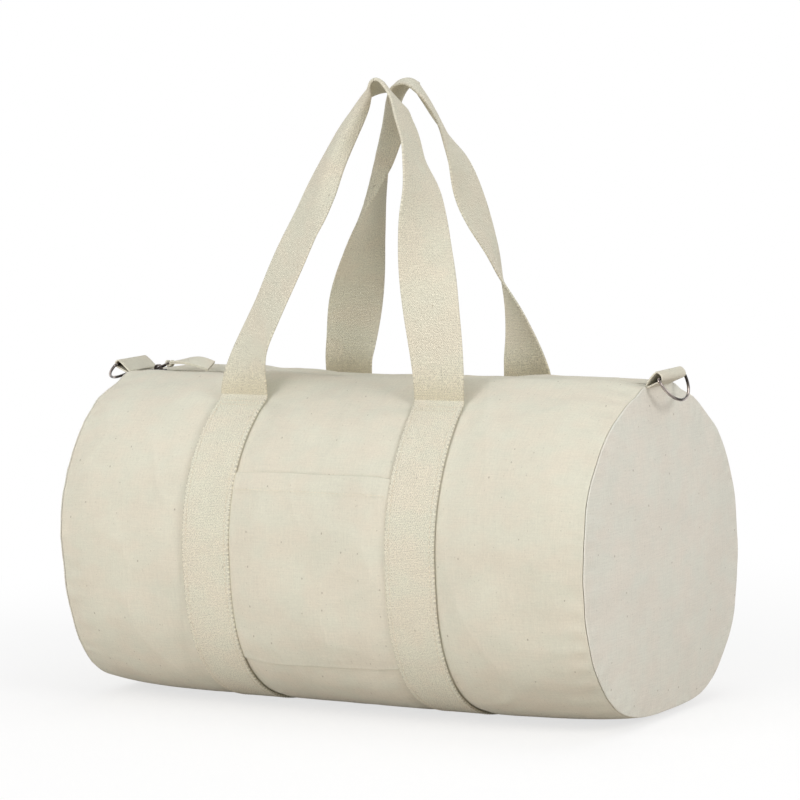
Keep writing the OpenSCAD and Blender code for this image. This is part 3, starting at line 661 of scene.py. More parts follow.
def cloth_material(name, colour, seed_colour, groups, yarns=(1500.0, 1500.0), slub=0.5, flecks=60.0, seed=0.0,
                   gap=0.12, streak=0.12, mottle=0.12, bump=0.00012, edge=None, fleck_dark=0.5, twill=0.0,
                   handled_tint_and_shade=None, grain=0.22, fineness=620.0, shadow_dash=None):
    """Cotton of one weave and colour.

    edge is (from, to, change) across, in metres, shadow_dash the length of the dashes of painted shadow in the
    gap under its rim between the stitches that pinch it, and handled_tint_and_shade the colour of marked places,
    a handling tan that is also painted shade.
    """
    mat, n, shader = material(name)
    cloth = n("Attribute", attribute_name="cloth").outputs["Vector"]
    place = n("SeparateXYZ", cloth).outputs if edge or handled_tint_and_shade else None
    weave = n("Group", node_tree=groups["weave"])
    cotton = n("Group", node_tree=groups["cotton"])
    link = mat.node_tree.links.new
    link(cloth, weave.inputs[0])
    link(cloth, cotton.inputs[0])
    for key, value in ((1, yarns[0]), (2, yarns[1]), (3, slub), (4, twill)):
        weave.inputs[key].default_value = value
    for key, value in ((1, flecks), (2, seed), (3, fineness)):
        cotton.inputs[key].default_value = value
    base = np.array(colour)
    warm, cool = base * (1.015, 0.985, 0.965), base * (0.985, 1.0, 0.985)
    tint = n.mix(n.span(cotton.outputs[1], 0.3, 0.7), tuple(warm), tuple(cool))
    if handled_tint_and_shade:
        # marked places: a handling tan and painted shade of the fold just above each foot
        mark = n.mul(place[2], 1000.0, clamp=True)
        tint = n.mix(mark, tint, tuple(base * handled_tint_and_shade))
    tone = n.add(1.0, n.mul(n.sub(cotton.outputs[0], 0.5), mottle))
    tone = n.add(tone, n.mul(weave.outputs[2], streak))
    tone = n.sub(tone, n.mul(weave.outputs[1], gap))
    tone = n.fused(cotton.outputs[3], grain, tone)
    if edge:
        across = n.math("ABSOLUTE", place[0])
        tone = n.add(tone, n.span(across, edge[0], edge[1], 0.0, edge[2]))
        # dark dashes along the rim: painted shadow of the gap under the webbing's edge between its stitches,
        # stronger on the sewn rows
        along = n.math("SINE", n.mul(place[1], 2 * math.pi / shadow_dash))
        sewn = n.mul(place[2], -1000.0, clamp=True)
        rim_gap_shadow = n.mul(n.span(along, -0.4, 0.6), n.fused(sewn, 0.14, 0.06))
        rim = n.span(across, edge[1] + 0.00042, edge[1] + 0.00058)
        tone = n.mul(tone, n.sub(1.0, n.mul(rim, rim_gap_shadow)))
    grey = n("CombineXYZ", tone, tone, tone).outputs[0]
    shaded = n.mix(1.0, tint, grey, "MULTIPLY")
    fleck = n.mul(cotton.outputs[2], fleck_dark)
    link(n.mix(fleck, shaded, tuple(seed_colour)), shader.inputs["Base Color"])
    for key, value in (("Roughness", 0.92), ("Specular IOR Level", 0.18), ("Sheen Weight", 0.12),
                       ("Sheen Roughness", 0.5)):
        shader.inputs[key].default_value = value
    bumps = n("Bump", sockets={"Strength": 0.7, "Distance": bump, "Height": weave.outputs[0]})
    link(bumps.outputs[0], shader.inputs["Normal"])
    return mat


def metal_material(name, colour, groups, roughness, highlight_gain):
    mat, n, shader = material(name)
    wear = n("Group", node_tree=groups["wear"])
    link = mat.node_tree.links.new
    link(n("Attribute", attribute_name="cloth").outputs["Vector"], wear.inputs[0])
    base = np.array(colour)
    # rubbed places raised far above the metal's colour: wear, and painted highlights in place of reflections of
    # the lamps
    wear_and_highlight = n.mix(wear.outputs[0], tuple(base), tuple(np.minimum(base * highlight_gain, 1)))
    dull = n.mix(n.mul(wear.outputs[2], 0.6), wear_and_highlight, tuple(base * 0.55))
    link(dull, shader.inputs["Base Color"])
    shader.inputs["Metallic"].default_value = 1.0
    rough = n.fused(wear.outputs[1], 0.12, roughness)
    link(n.fused(wear.outputs[2], 0.18, rough), shader.inputs["Roughness"])
    bumps = n("Bump", sockets={"Strength": 0.25, "Distance": 0.00004, "Height": wear.outputs[1]})
    link(bumps.outputs[0], shader.inputs["Normal"])
    return mat


def finishes(context):
    """All the materials of the bag, made once."""
    if "Canvas" in bpy.data.materials:
        return {m.name: m for m in bpy.data.materials}
    tint = context.scene.barrel_bag_colours
    groups = {"weave": woven_group(), "cotton": cotton_group(), "wear": wear_group()}
    seed = tuple(tint.seed)
    canvas, web = tuple(tint.canvas), tuple(tint.webbing)
    cloth_material("Canvas", canvas, seed, groups)
    # the end panels' canvas: a little less yellow than the barrel's, and made lighter as painted light, making up
    # for the weaker lamp light on the ends
    cloth_material("End canvas", tuple(np.array(canvas) * (1.09, 1.11, 1.19)), seed, groups, seed=3.1,
                   streak=0.16)
    cloth_material("Pocket canvas", canvas, seed, groups, seed=5.7, yarns=(1650.0, 1600.0))
    # the webbing's darker tint above the feet is a handling tan and painted shade
    cloth_material("Webbing", web, seed, groups, yarns=(640.0, 830.0), seed=7.3, gap=0.22, streak=0.16,
                   bump=0.00042, edge=(0.0182, 0.0194, 0.0), twill=0.5, handled_tint_and_shade=(0.875, 0.838, 0.76),
                   fleck_dark=0.4, mottle=0.07, grain=1.5, fineness=1050.0, shadow_dash=0.0037)
    cloth_material("Loop canvas", tuple(np.array(canvas) * 0.98), seed, groups, seed=11.9)
    cloth_material("Zip tape", tuple(tint.tape), seed, groups, yarns=(1900.0, 2300.0), slub=0.3, seed=2.2)
    cloth_material("Thread", tuple(tint.thread), seed, groups, yarns=(2600.0, 900.0), slub=0.1, flecks=10.0,
                   mottle=0.05, streak=0.04)
    cloth_material("Binding tape", web, seed, groups, yarns=(1400.0, 1700.0), seed=9.4)
    metal_material("Ring metal", tuple(tint.metal), groups, roughness=0.1, highlight_gain=9.0)
    metal_material("Zip metal", tuple(np.array(tint.metal) * 1.3), groups, roughness=0.22, highlight_gain=2.2)
    return {m.name: m for m in bpy.data.materials}


# ---------------------------------------------------------------- stage

CAMERA_TURN = 31.42, 6.21, -1.98    # azimuth, elevation and roll, degrees
CAMERA_AWAY = 2.7414                # from the point that it looks at, m
CAMERA_AIM = 0.0076, 0.2282         # that point: to the right of the middle and above the floor, m
FLOOR_REACH = 9.0                   # m
# name, place and diameter in metres, and power in watts
LAMPS = [("key", (-1.3, -2.2, 2.1), 1.5, 11.5), ("fill", (2.85, -0.75, 1.4), 1.2, 34.5),
         ("top", (0.2, 0.6, 2.6), 1.8, 11), ("low", (-0.5, -2.6, 0.1), 1.4, 43)]


def look_axes(azimuth, elevation, roll):
    a, e, r = (math.radians(v) for v in (azimuth, elevation, roll))
    back = Vector((math.sin(a) * math.cos(e), -math.cos(a) * math.cos(e), math.sin(e)))
    right = Vector((math.cos(a), math.sin(a), 0))
    up = back.cross(right)
    return right, math.cos(r) * right + math.sin(r) * up, math.cos(r) * up - math.sin(r) * right, back


class BARRELBAG_OT_stage(bpy.types.Operator):
    """Camera, pale floor and plain soft light"""
    bl_idname = "barrel_bag.stage"
    bl_label = "Stage"

    def execute(self, context):
        scene = context.scene
        data = bpy.data.cameras.new("camera")
        data.lens, data.sensor_width, data.clip_end = 162, 36, 40
        camera = bpy.data.objects.new("camera", data)
        right, x, y, z = look_axes(*CAMERA_TURN)
        target = right * CAMERA_AIM[0] + Vector((0, 0, CAMERA_AIM[1]))
        camera.matrix_world = Matrix.LocRotScale(
            target + z * CAMERA_AWAY, Matrix((x, y, z)).transposed().to_quaternion(), None)
        scene.collection.objects.link(camera)
        scene.camera = camera

        mesh = bpy.data.meshes.new("floor")
        corners = [(x * FLOOR_REACH, y * FLOOR_REACH, 0) for x, y in ((-1, -1), (1, -1), (1, 1), (-1, 1))]
        mesh.from_pydata(corners, [], [(0, 1, 2, 3)])
        floor = bpy.data.objects.new("floor", mesh)
        scene.collection.objects.link(floor)
        mat = bpy.data.materials.new("Floor")
        n = emptied(mat)
        plain = n("BsdfDiffuse", (0.58, 0.535, 0.49, 1)).outputs[0]
        near = n("AddShader", n("BsdfDiffuse", (0.34, 0.34, 0.34, 1)).outputs[0],
                 n("Emission", (1, 1, 1, 1), 0.68).outputs[0]).outputs[0]
        away = n("VectorMath", n("NewGeometry").outputs["Position"], operation="LENGTH").outputs["Value"]
        far = n("Emission", (1, 1, 1, 1), 1.0).outputs[0]
        lit = n("MixShader", n.span(away, 0.3, 0.75), near, far).outputs[0]
        n("OutputMaterial", n("MixShader", n.seen(), plain, lit).outputs[0])
        mesh.materials.append(mat)

        world = bpy.data.worlds.new("studio")
        scene.world = world
        n = emptied(world)
        soft = n("Background", (1.0, 1.0, 1.0, 1), 0.5).outputs[0]
        white = n("Background", (1, 1, 1, 1), 1.0).outputs[0]
        n("OutputWorld", n("MixShader", n.seen(), soft, white).outputs[0])

        for name, place, size, power in LAMPS:
            lamp = bpy.data.lights.new(name, "AREA")
            lamp.shape, lamp.size, lamp.energy = "DISK", size, power
            obj = bpy.data.objects.new(name, lamp)
            obj.location = place
            obj.rotation_euler = (Vector((0, 0, 0.18)) - Vector(place)).to_track_quat("-Z", "Y").to_euler()
            scene.collection.objects.link(obj)
        scene.view_settings.view_transform = "Standard"
        return {"FINISHED"}


# ---------------------------------------------------------------- canvas

def barrel_of(context):
    return Barrel(context.scene.barrel_bag_sizes)


def fine_places(low, high, step, fine, band):
    """Places from low to high, closer together within a band of both ends."""
    inner = np.linspace(low + band, high - band, max(2, int(round((high - low - 2 * band) / step)) + 1))
    ends = np.linspace(0, band, int(round(band / fine)) + 1)[:-1]
    return np.concatenate([low + ends, inner, high - ends[::-1]])


class BARRELBAG_OT_canvas(bpy.types.Operator):
    """The one rectangle of canvas that makes the barrel, with its topstitched lips beside the zip"""
    bl_idname = "barrel_bag.canvas"
    bl_label = "Barrel canvas"

    def execute(self, context):
        b, mats = barrel_of(context), finishes(context)
        roll, lip = 0.85, b.lip
        s = fine_places(lip, b.girth - lip, 2.6, 0.45, 4.5)
        flat_x = np.linspace(roll - b.half_len, b.half_len - roll, int(round(2 * b.half_len / 1.7)) + 1)
        bends = np.radians([14, 28, 42, 56, 68])
        x = np.concatenate([-(b.half_len - roll + roll * np.sin(bends[::-1])), flat_x,
                            b.half_len - roll + roll * np.sin(bends)])
        drop = np.concatenate([roll * (1 - np.cos(bends[::-1])), 0 * flat_x, roll * (1 - np.cos(bends))])
        xs, ss = np.meshgrid(np.clip(x, 0.15 - b.half_len, b.half_len - 0.15), s, indexing="ij")
        edge = np.minimum(ss, b.girth - ss) - lip
        hem = 0.12 * bell(edge - 1.4, 1.2) - 0.22 * bell(edge - 3.0, 0.5)
        grid = b.skin(b.angle(ss), b.settled(xs, ss) + hem - drop[:, None], xs)
        end = b.half_len - np.abs(xs)
        wander = np.where(xs < 0, -b.meander(-1, ss), b.meander(1, ss))
        grid[..., 0] += wander * np.exp(-end / 22) * smooth(edge / 20)
        grid[..., 2] = np.maximum(grid[..., 2], 0.15)
        thick = b.canvas_t - 0.5 * np.exp(-end / 2)
        Pile().shell(grid, flat_coords(xs, ss), thick).build(
            "barrel_canvas", mats["Canvas"], "bag", "canvas", "main_panel", held="stretched",
            flat=(2 * b.half_len * MM, (b.girth - 2 * lip) * MM),
            rests_on=["left_end_panel", "right_end_panel"])
        return {"FINISHED"}


class BARRELBAG_OT_ends(bpy.types.Operator):
    """The two round ends, which swell out past their seams"""
    bl_idname = "barrel_bag.ends"
    bl_label = "End panels"

    def execute(self, context):
        b, mats = barrel_of(context), finishes(context)
        s = np.linspace(0, b.girth, 361)[:-1]
        a = b.angle(s)
        for side, name in ((-1, "left"), (1, "right")):
            seam = np.full_like(a, side * (b.half_len - 0.15))
            rim = b.skin(a, b.settled(seam, s) - 0.1, seam)[:, 1:]
            rim[:, 1] = np.maximum(rim[:, 1], 0.2)
            centre = np.array([0, b.mid_z])
            reach = np.linalg.norm(rim - centre, axis=1)
            # the edge turns over the seam as a low round ridge
            bends = np.radians(np.linspace(-50, 84, 8))
            ridge = 0.6
            ins = ridge * (1 - np.cos(bends)) + 0.05
            depth = np.geomspace(2.2, reach.min(), 44)
            depth = np.concatenate([ins, ins[-1] + depth - depth[0] + 0.7])
            depth = depth[depth < reach.min() * 0.985][:, None]
            outs = np.full(depth.shape, 2 * ridge)
            outs[:len(bends), 0] = ridge + ridge * np.sin(bends)
            share = 1 - depth / reach
            y = rim[:, 0] * share
            z = centre[1] + (rim[:, 1] - centre[1]) * share
            swell = b.swell * (1 - np.clip(share, 0, 1) ** 2)
            swell += 0.5 * noise(y, z, 46, 21 + side) * smooth(depth / 20)
            swell += 0.25 * noise(y + z, z - y, 21, 33 + side) * smooth(depth / 12)
            pucker = 0.5 * np.sin(2 * np.pi * (s / 15 + 0.4 * noise(s * 0, s, 37, 41)))
            pucker = pucker * np.exp(-depth / 9) * smooth((depth - 1) / 4)
            beside_zip = smooth((np.minimum(s, b.girth - s) - b.lip) / 20)
            wander = b.meander(side, s) * beside_zip * np.exp(-depth / 22)
            x = side * (b.half_len + 0.12 + outs + swell + pucker + wander)
            size = 2 * float(reach.max()) * MM
            grid = np.stack([x, y, z], -1)
            Pile().shell(grid, flat_coords(y, z), END_T, flip=side < 0, ring=True, hub=True).build(
                name + "_end_canvas", mats["End canvas"], "bag", "canvas", name + "_end_panel",
                flat=(size, size), held="stretched", area=math.pi * size * size / 4, rests_on=["main_panel"])
        return {"FINISHED"}


# ---------------------------------------------------------------- webbing

SEWN_ROW = 17.2    # stitch rows on a band, from its middle, mm
BUTT = 0.4         # half the gap where the two pieces of webbing meet under the base, mm


def webbing_course(b, front):
    """Middle of the webbing from under the base, up one band, over the handle and down the other band.

    Gives the points, the directions across, and for each row whether it is sewn down.
    """
    side = -1 if front else 1
    rows = curve_through(FRONT_COURSE if front else BACK_COURSE, 0.1)
    top_y = b.web + 0.3
    handle = np.stack([b.strap_x * rows[:, 0], side * (top_y + (b.foot[1] - top_y) * rows[:, 1]),
                       b.foot[2] + b.mm["handle_rise"] * rows[:, 2]], -1)
    turn = np.radians(rows[:, 3])
    handle_across = np.stack([-side * np.cos(turn), -np.sin(turn), 0 * turn], -1)
    even = respaced(np.concatenate([handle, handle_across], 1), 2.0)
    handle, handle_across = even[:, :3], unit(even[:, 3:])
    bands = []
    foot_place = float(b.place(b.foot_angle))
    for lr in (-1, 1):
        s = np.linspace(b.girth / 2 - BUTT, foot_place + 4.5, 150)
        a = b.angle(b.girth - s if front else s)
        x = b.band_x(lr, a)
        d = LAY_GAP + b.web_t / 2 + 0.12 * noise(s, s * 0 + lr, 26, 51 + lr + side)
        band = b.skin(a, np.where(s > b.girth / 2 - 90, LAY_GAP + b.web_t / 2, d), x)
        across = np.tile([-side if lr < 0 else side, 0.0, 0.0], (len(s), 1))
        hinge = handle[0] if lr < 0 else handle[-1]
        along = unit(band[-1] - band[-2])
        reach = np.linalg.norm(hinge - band[-1])
        t = np.linspace(0, 1, 9)[1:-1, None]
        bend = ((2 * t ** 3 - 3 * t ** 2 + 1) * band[-1] + (t ** 3 - 2 * t ** 2 + t) * along * reach
                + (-2 * t ** 3 + 3 * t ** 2) * hinge + (t ** 3 - t ** 2) * np.array([0, 0, reach]))
        bands.append((np.concatenate([band, bend]), np.concatenate([across, across[:len(bend)]]), len(band)))
    (left, left_across, sewn), (right, right_across, _) = bands
    points = np.concatenate([left, handle, right[::-1]])
    across = np.concatenate([left_across, handle_across, right_across[::-1]])
    n = len(points)
    flat = np.zeros(n, bool)
    flat[:sewn], flat[n - sewn:] = True, True
    return points, across, flat


# How the free webbing is folded lengthwise: share of the rise, the turns in degrees of its near and far flaps,
# and where the fold runs across it in mm, on the left leg and on the right leg.
FOLDS = {
    True: ([(0, 0, 0, 0), (0.54, 0, 0, 0), (0.66, 34, 8, 1), (0.8, 70, 18, 5), (0.9, 88, 22, 7),
            (0.97, 124, 30, 9), (1, 120, 24, 13)],
           [(0, 0, 0, 20), (0.86, 0, 0, 20), (0.93, 0, 4, 20), (0.965, 40, 10, 19), (1, 120, 24, 13)]),
    False: ([(0, 0, 0, 20), (0.46, 0, 0, 20), (0.51, 76, 0, 17.5), (0.6, 92, 0, 11), (0.74, 96, 4, 1),
             (0.85, 92, 8, -3), (0.94, 50, 20, 0), (1, 14, 26, 0)],
            [(0, 0, 0, 0), (0.42, 0, 0, 0), (0.6, 8, 6, 0), (0.8, 8, 6, 0), (0.93, 8, 18, 0), (1, 14, 26, 0)]),
}


def folded(b, w, near, far, fold):
    """Section of folded webbing: the way across and the way out of each point of its face, for each row."""
    fine = np.linspace(-b.web, b.web, 161)
    t = (fine[None] - fold[:, None]) / (0.5 * b.web)
    turn = np.radians(near[:, None] * smooth(t) - far[:, None] * smooth(-t))
    sections = []
    for slope in (np.cos(turn), -np.sin(turn)):
        path = np.cumsum(slope, 1) * (fine[1] - fine[0])
        rows = [np.interp(w, fine, row) - np.interp(c, fine, row) for row, c in zip(path, fold)]
        sections.append(np.array(rows))
    return sections[0] + np.clip(fold, -b.web, b.web)[:, None], sections[1]


def smoothed(values, places):
    """Values averaged along a row by a bell so many places wide."""
    kernel = np.hanning(places) / np.hanning(places).sum()
    return np.convolve(np.pad(values, places // 2, "edge"), kernel, "valid")


def webbing_grid(b, front):
    """Outer face of the webbing, its cloth coordinates and which rows are sewn down."""
    points, across, flat = webbing_course(b, front)
    way = unit(np.gradient(points, axis=0))
    # the bands keep square to the bag; only the free webbing turns square to its own way
    free = smooth((points[:, 2] - b.foot[2] - 4) / 40)[:, None]
    across = square_to(across, unit(way * np.concatenate([free, 1 + 0 * free, 1 + 0 * free], 1)))
    across = square_to(np.stack([smoothed(c, 13) for c in across.T], -1), way * free)
    up = unit(np.cross(across, way))
    run = run_along(points)
    w = np.array([-20, -19.5, -18.6, -17.7, -17.2, -16.7, -15.5, -13, -10.5, -8, -5.5, -3, -1, 1, 3, 5.5, 8, 10.5,
                  13, 15.5, 16.7, 17.2, 17.7, 18.6, 19.5, 20]) / 20 * b.web
    groove = bell(np.abs(w) - SEWN_ROW, 0.55)[None] * 0.22 * flat[:, None]
    free = smooth((np.minimum(run, run[-1] - run) - 325) / 40)[:, None]
    wave = free * (0.35 * noise(run[:, None], w[None] * 0.6, 34, 61 + front)
                   + 0.5 * (w[None] / b.web) ** 2 * noise(run[:, None], 0 * w[None], 48, 67 + front))
    rise = np.clip((points[:, 2] - b.foot[2]) / b.mm["handle_rise"], 0, 1)
    left = np.arange(len(points)) < int(np.argmax(points[:, 2]))
    bends = [np.where(left, *(np.interp(rise, *np.array(leg)[:, (0, k)].T) for leg in FOLDS[front]))
             for k in (1, 2, 3)]
    sideways, outward = folded(b, w, *(smoothed(v, 11) for v in bends))
    outward = outward + b.web_t / 2 - groove + wave
    grid = points[:, None] + sideways[..., None] * across[:, None] + outward[..., None] * up[:, None]
    # the third cloth coordinate marks the stretch just above each foot, which the webbing's material darkens as a
    # handling tan and as painted shade, and the sewn rows with -1
    height = points[:, 2] - b.foot[2]
    foot = np.where(height > -0.3, bell(height, 17), 0) * ~flat - flat
    return grid, flat_coords(w[None], run[:, None], foot[:, None]), flat


class BARRELBAG_OT_webbing(bpy.types.Operator):
    """Two lengths of webbing, each both front or both back bands and the handle between them"""
    bl_idname = "barrel_bag.webbing"
    bl_label = "Webbing and handles"

    def execute(self, context):
        b, mats = barrel_of(context), finishes(context)
        seams = Pile()
        for front in (True, False):
            name = "front" if front else "back"
            grid, cloth, flat = webbing_grid(b, front)
            length = float(run_along(grid[:, grid.shape[1] // 2])[-1])
            obj = Pile().shell(grid, cloth, b.web_t, flip=True).build(
                name + "_webbing", mats["Webbing"], None, "webbing",
                "left_strap", "right_strap", name + "_handle",
                flat=(2 * b.web * MM, length * MM), held="stretched", rests_on=["main_panel"])
            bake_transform(obj)
            up = -normals(grid)
            n, sewn = len(grid), int(flat[:len(flat) // 2].sum())
            for rows in (slice(2, sewn - 1), slice(n - sewn + 1, n - 2)):
                for col in (4, 21):
                    seams.stitches(grid[rows, col], up[rows, col])
            for row in (sewn - 2, sewn - 4, n - sewn + 1, n - sewn + 3):
                seams.stitches(grid[row, 4:22], up[row, 4:22], pitch=3.2, long=2.3)
        seams.points = [np.maximum(p, (-1e3, -1e3, 0.03)) for p in seams.points]
        seams.build("webbing_stitches", mats["Thread"], "bag", "webbing")
        return {"FINISHED"}


# ---------------------------------------------------------------- pocket

class BARRELBAG_OT_pocket(bpy.types.Operator):
    """Slip pocket between the front bands, with a turned hem and a turned lower edge"""
    bl_idname = "barrel_bag.pocket"
    bl_label = "Pocket"

    def execute(self, context):
        b, mats = barrel_of(context), finishes(context)
        top, low = (b.girth - float(b.place(b.height_angle(b.mm[k]))) for k in ("pocket_top", "pocket_low"))
        deep, hem = top - low, b.mm["pocket_hem"]
        edges = [0, 0.7, 1.6, 3, 5, 8]
        edges += [hem + more for more in (-3, -1.6, -1.0, -0.5, 0, 0.5, 1.2, 2.2)]
        down = np.concatenate([edges, np.linspace(hem + 4, deep - 12, int((deep - hem - 16) / 2.2)),
                               deep - np.array([10, 9, 8.2, 7.4, 6, 4.4, 3.4, 2.9, 2.4, 1.6, 0.8, 0])])
        s = top - down
        a = b.angle(s)
        share = np.linspace(-1, 1, 91)
        left, right = (b.band_x(side, a) - side * (b.web + LAY_GAP) for side in (-1, 1))
        x = (left + right)[:, None] / 2 + (right - left)[:, None] / 2 * share[None]
        aa = np.broadcast_to(a[:, None], x.shape)
        t = down[:, None]
        thick = 0.8 + 0.35 * (1 - smooth((t - hem - 0.1) / 0.7)) + 0.12 * smooth((t - deep + 3) / 1.6)
        edge = (1 - np.abs(share))[None] * (right - left)[:, None] / 2
        slack = smooth(edge / 34) * (0.5 * (1 - smooth(t / 46))
                                     + 0.3 * smooth(t / 30) * smooth((deep - t) / 30))
        slack = slack + smooth(edge / 10) * (0.25 + 0.25 * noise(x, t, 31, 71)) * smooth((deep - t) / 8)
        groove = 0.16 * bell(t - hem + 1.0, 0.5)
        grid = b.skin(aa, b.lift(x, aa) + 0.25 + slack + thick - groove, x)
        Pile().shell(grid, flat_coords(x, t), thick - groove).build(
            "slip_pocket", mats["Pocket canvas"], "bag", "canvas", "pocket_panel",
            flat=(float((right - left).mean()) * MM, deep * MM), held="stretched", rests_on=["main_panel"])
        row = int(np.argmin(np.abs(down - hem + 1.0)))
        seams = Pile().stitches(grid[row, 1:-1], normals(grid)[row, 1:-1], pitch=3.0, long=2.2, thick=0.24)
        seams.build("pocket_stitches", mats["Thread"], "bag", "canvas")
        return {"FINISHED"}


# ---------------------------------------------------------------- rings

LOOP_WIDTH, LOOP_T, LOOP_REACH, LOOP_TILT = 38.0, 1.4, 12.2, 30.0
RING_WIRE, TURN_GAP = 2.6, 0.3
RING_DEPTH = 0.92   # depth of the wire's bow against its half width
RING_THIN = 0.43    # the wire's radius against its diameter in the source, 0.5 when as thick
RING_SWING = {"left": 50.0, "right": 28.0}


class BARRELBAG_OT_rings(bpy.types.Operator):
    """Folded canvas loops in the end seams, with their metal rings"""
    bl_idname = "barrel_bag.rings"
    bl_label = "Rings and loops"

    def execute(self, context):
        b, mats = barrel_of(context), finishes(context)
        tilt = math.radians(LOOP_TILT)
        loop_x = b.half_len + 2 * LAY_GAP + b.canvas_t + LOOP_REACH * math.cos(tilt)
        loop_z = b.zip_z + LAY_GAP + LOOP_REACH * math.sin(tilt)
        for name, side in (("left", -1), ("right", 1)):
            self.loop(mats, name, side, tilt, loop_x, loop_z)
            swing = math.radians(RING_SWING[name])
            d = self.ring_outline()
            ring = np.stack([side * (loop_x - d[:, 1] * math.sin(swing)), d[:, 0],
                             loop_z + d[:, 1] * math.cos(swing)], -1)
            Pile().hoop(ring, RING_WIRE * RING_THIN, sides=16).build(
                name + "_ring_wire", mats["Ring metal"], name + "_d_ring", "ring_metal", name + "_d_ring")
        return {"FINISHED"}

    def loop(self, mats, name, side, tilt, loop_x, loop_z):
        """Canvas folded round the ring's bar, its two ends in the seam, fuller above than below."""
        outer = RING_WIRE / 2 + TURN_GAP + LOOP_T
        turn = np.radians(np.linspace(-104, 104, 25))
        reach = np.linspace(-LOOP_REACH, -1.6, 9)
        low = np.stack([reach, -outer * 0.985 + (-1.2 - reach) * 0.13], -1)
        fold = np.stack([outer * np.cos(turn), outer * np.sin(turn)], -1)
        spine = respaced(np.concatenate([low, fold, (low * (1, -1))[::-1]]), 0.55, keep=2)
        y = np.concatenate([[-1, -0.985, -0.95, -0.9], np.linspace(-0.82, 0.82, 15), [0.9, 0.95, 0.985, 1]])
        y = y[None] * (LOOP_WIDTH - LOOP_T) / 2
        n = len(spine)
        u, v = (spine[:, k][:, None] + 0 * y for k in (0, 1))
        v = v + np.clip((-u - 2) / LOOP_REACH, 0, 1) * 0.35 * noise(y + 0 * u, u, 9, 81 + side)
        upper = smooth((np.arange(n)[:, None] / n - 0.42) / 0.2)
        full = np.sin(np.pi * np.clip(0.5 - u / LOOP_REACH * 0.5, 0, 1)) ** 0.8
        v = v + (0.3 + (2.5 if side > 0 else 0.5) * upper) * full
        grid = np.stack([side * (loop_x + u * math.cos(tilt) - v * math.sin(tilt)), y + 0 * u,
                         loop_z + u * math.sin(tilt) + v * math.cos(tilt)], -1)
        run = run_along(spine)
        Pile().shell(grid, flat_coords(y, run[:, None]), LOOP_T - 0.1, flip=side > 0).build(
            name + "_loop_canvas", mats["Loop canvas"], "bag", "canvas", name + "_ring_loop", held="folded",
            flat=((LOOP_WIDTH - LOOP_T) * MM, float(run[-1]) * MM), rests_on=["main_panel"])

    def ring_outline(self):
        """The wire's middle line: a straight bar with round corners, and the bow below it."""
        span = (LOOP_WIDTH + RING_WIRE) / 2 + 2 * TURN_GAP
        corner = 2.2        # radius, mm
        bend, arc = np.radians(np.linspace(0, 90, 7)), np.radians(np.linspace(0, 180, 49))
        bow = np.stack([span * np.cos(arc), -RING_DEPTH * span * np.sin(arc)], -1)
        end = np.stack([span - corner + corner * np.sin(bend), corner * np.cos(bend) - corner], -1)
        bar = np.stack([np.linspace(-span + corner, span - corner, 16)[1:-1], np.zeros(14)], -1)
        return np.concatenate([end, bow[bow[:, 1] < -corner - 0.3], (end * (-1, 1))[::-1], bar])


# ---------------------------------------------------------------- bindings

class BARRELBAG_OT_bindings(bpy.types.Operator):
    """Bound seam allowances inside the two ends"""
    bl_idname = "barrel_bag.bindings"
    bl_label = "Seam bindings"

    def execute(self, context):
        b, mats = barrel_of(context), finishes(context)
        s = np.linspace(0, b.girth, 241)[:-1]
        a = b.angle(s)
        high = -b.canvas_t - 3 * LAY_GAP - b.tape_t
        # a tape folded round the allowance: down one face, round its inner edge, up the other
        half, deep = 1.1, 8.4       # half its thickness when folded, and its depth, mm
        turn = np.radians(np.linspace(0, 180, 9))
        outs = np.concatenate([np.full(7, half), half * np.cos(turn), np.full(7, -half)])[:, None]
        face = np.linspace(0, deep, 8)
        deeps = np.concatenate([face[:-1], deep + 1.2 * np.sin(turn), face[-2::-1]])
        width = float(np.hypot(np.diff(deeps), np.diff(outs[:, 0])).sum())
        deeps = deeps[:, None]
        for side, name in ((-1, "left"), (1, "right")):
            mid = side * (b.half_len - LAY_GAP - 1.2)
            grid = b.skin(a + 0 * outs, high - 0.15 - deeps + 0.12 * np.sin(2 * np.pi * s / 9),
                          mid + side * (outs + 0 * a))
            cloth = flat_coords(np.arange(1.0, len(deeps) + 1)[:, None], s[None])
            Pile().shell(grid, cloth, 0.5, flip=side < 0, ring=True).build(
                name + "_binding_tape", mats["Binding tape"], "bag", "binding", name + "_seam_binding",
                flat=(b.girth * MM, width * MM), held="folded", rests_on=[name + "_end_panel"])
        return {"FINISHED"}


# ---------------------------------------------------------------- zip

TEETH_GAP, TOOTH_W, TOOTH_PITCH, TOOTH_H, STOP_LEN = 4.8, 1.8, 4.0, 2.6, 3.0
STOP_PAST = 1.4     # how far the stops reach past the edge cords, mm
SLIDER_LEN, SLIDER_W, PLATE_T = 13.0, 12.6, 1.1
PULL_WIRE, PULLER_LEN, PULL_TILT = 1.4, 12.0, 22.0
TAB_LEN, TAB_W, TAB_T = 43.0, 11.0, 2.4


class Zip:
    """Places along the zip, in millimetres, as the source has them."""

    def __init__(self, b):
        self.reach = b.half_len - 1
        self.bottom_x = -self.reach + STOP_LEN + 2 * LAY_GAP
        self.slider_x = self.bottom_x + STOP_LEN / 2 + TURN_GAP + SLIDER_LEN / 2
        self.teeth_from = self.bottom_x + STOP_LEN / 2 + LAY_GAP
        self.top_x = self.reach - STOP_LEN * 3
        self.teeth_to = self.top_x - STOP_LEN / 2 - LAY_GAP
        self.gap = TOOTH_H + 2 * TURN_GAP
        self.crown_in = PULL_WIRE + 2 * TURN_GAP
        self.plate_top = b.chain_z + self.gap / 2 + PLATE_T
        self.pull_x = self.slider_x + SLIDER_LEN * 0.1
        self.pull_z = self.plate_top + self.crown_in / 2


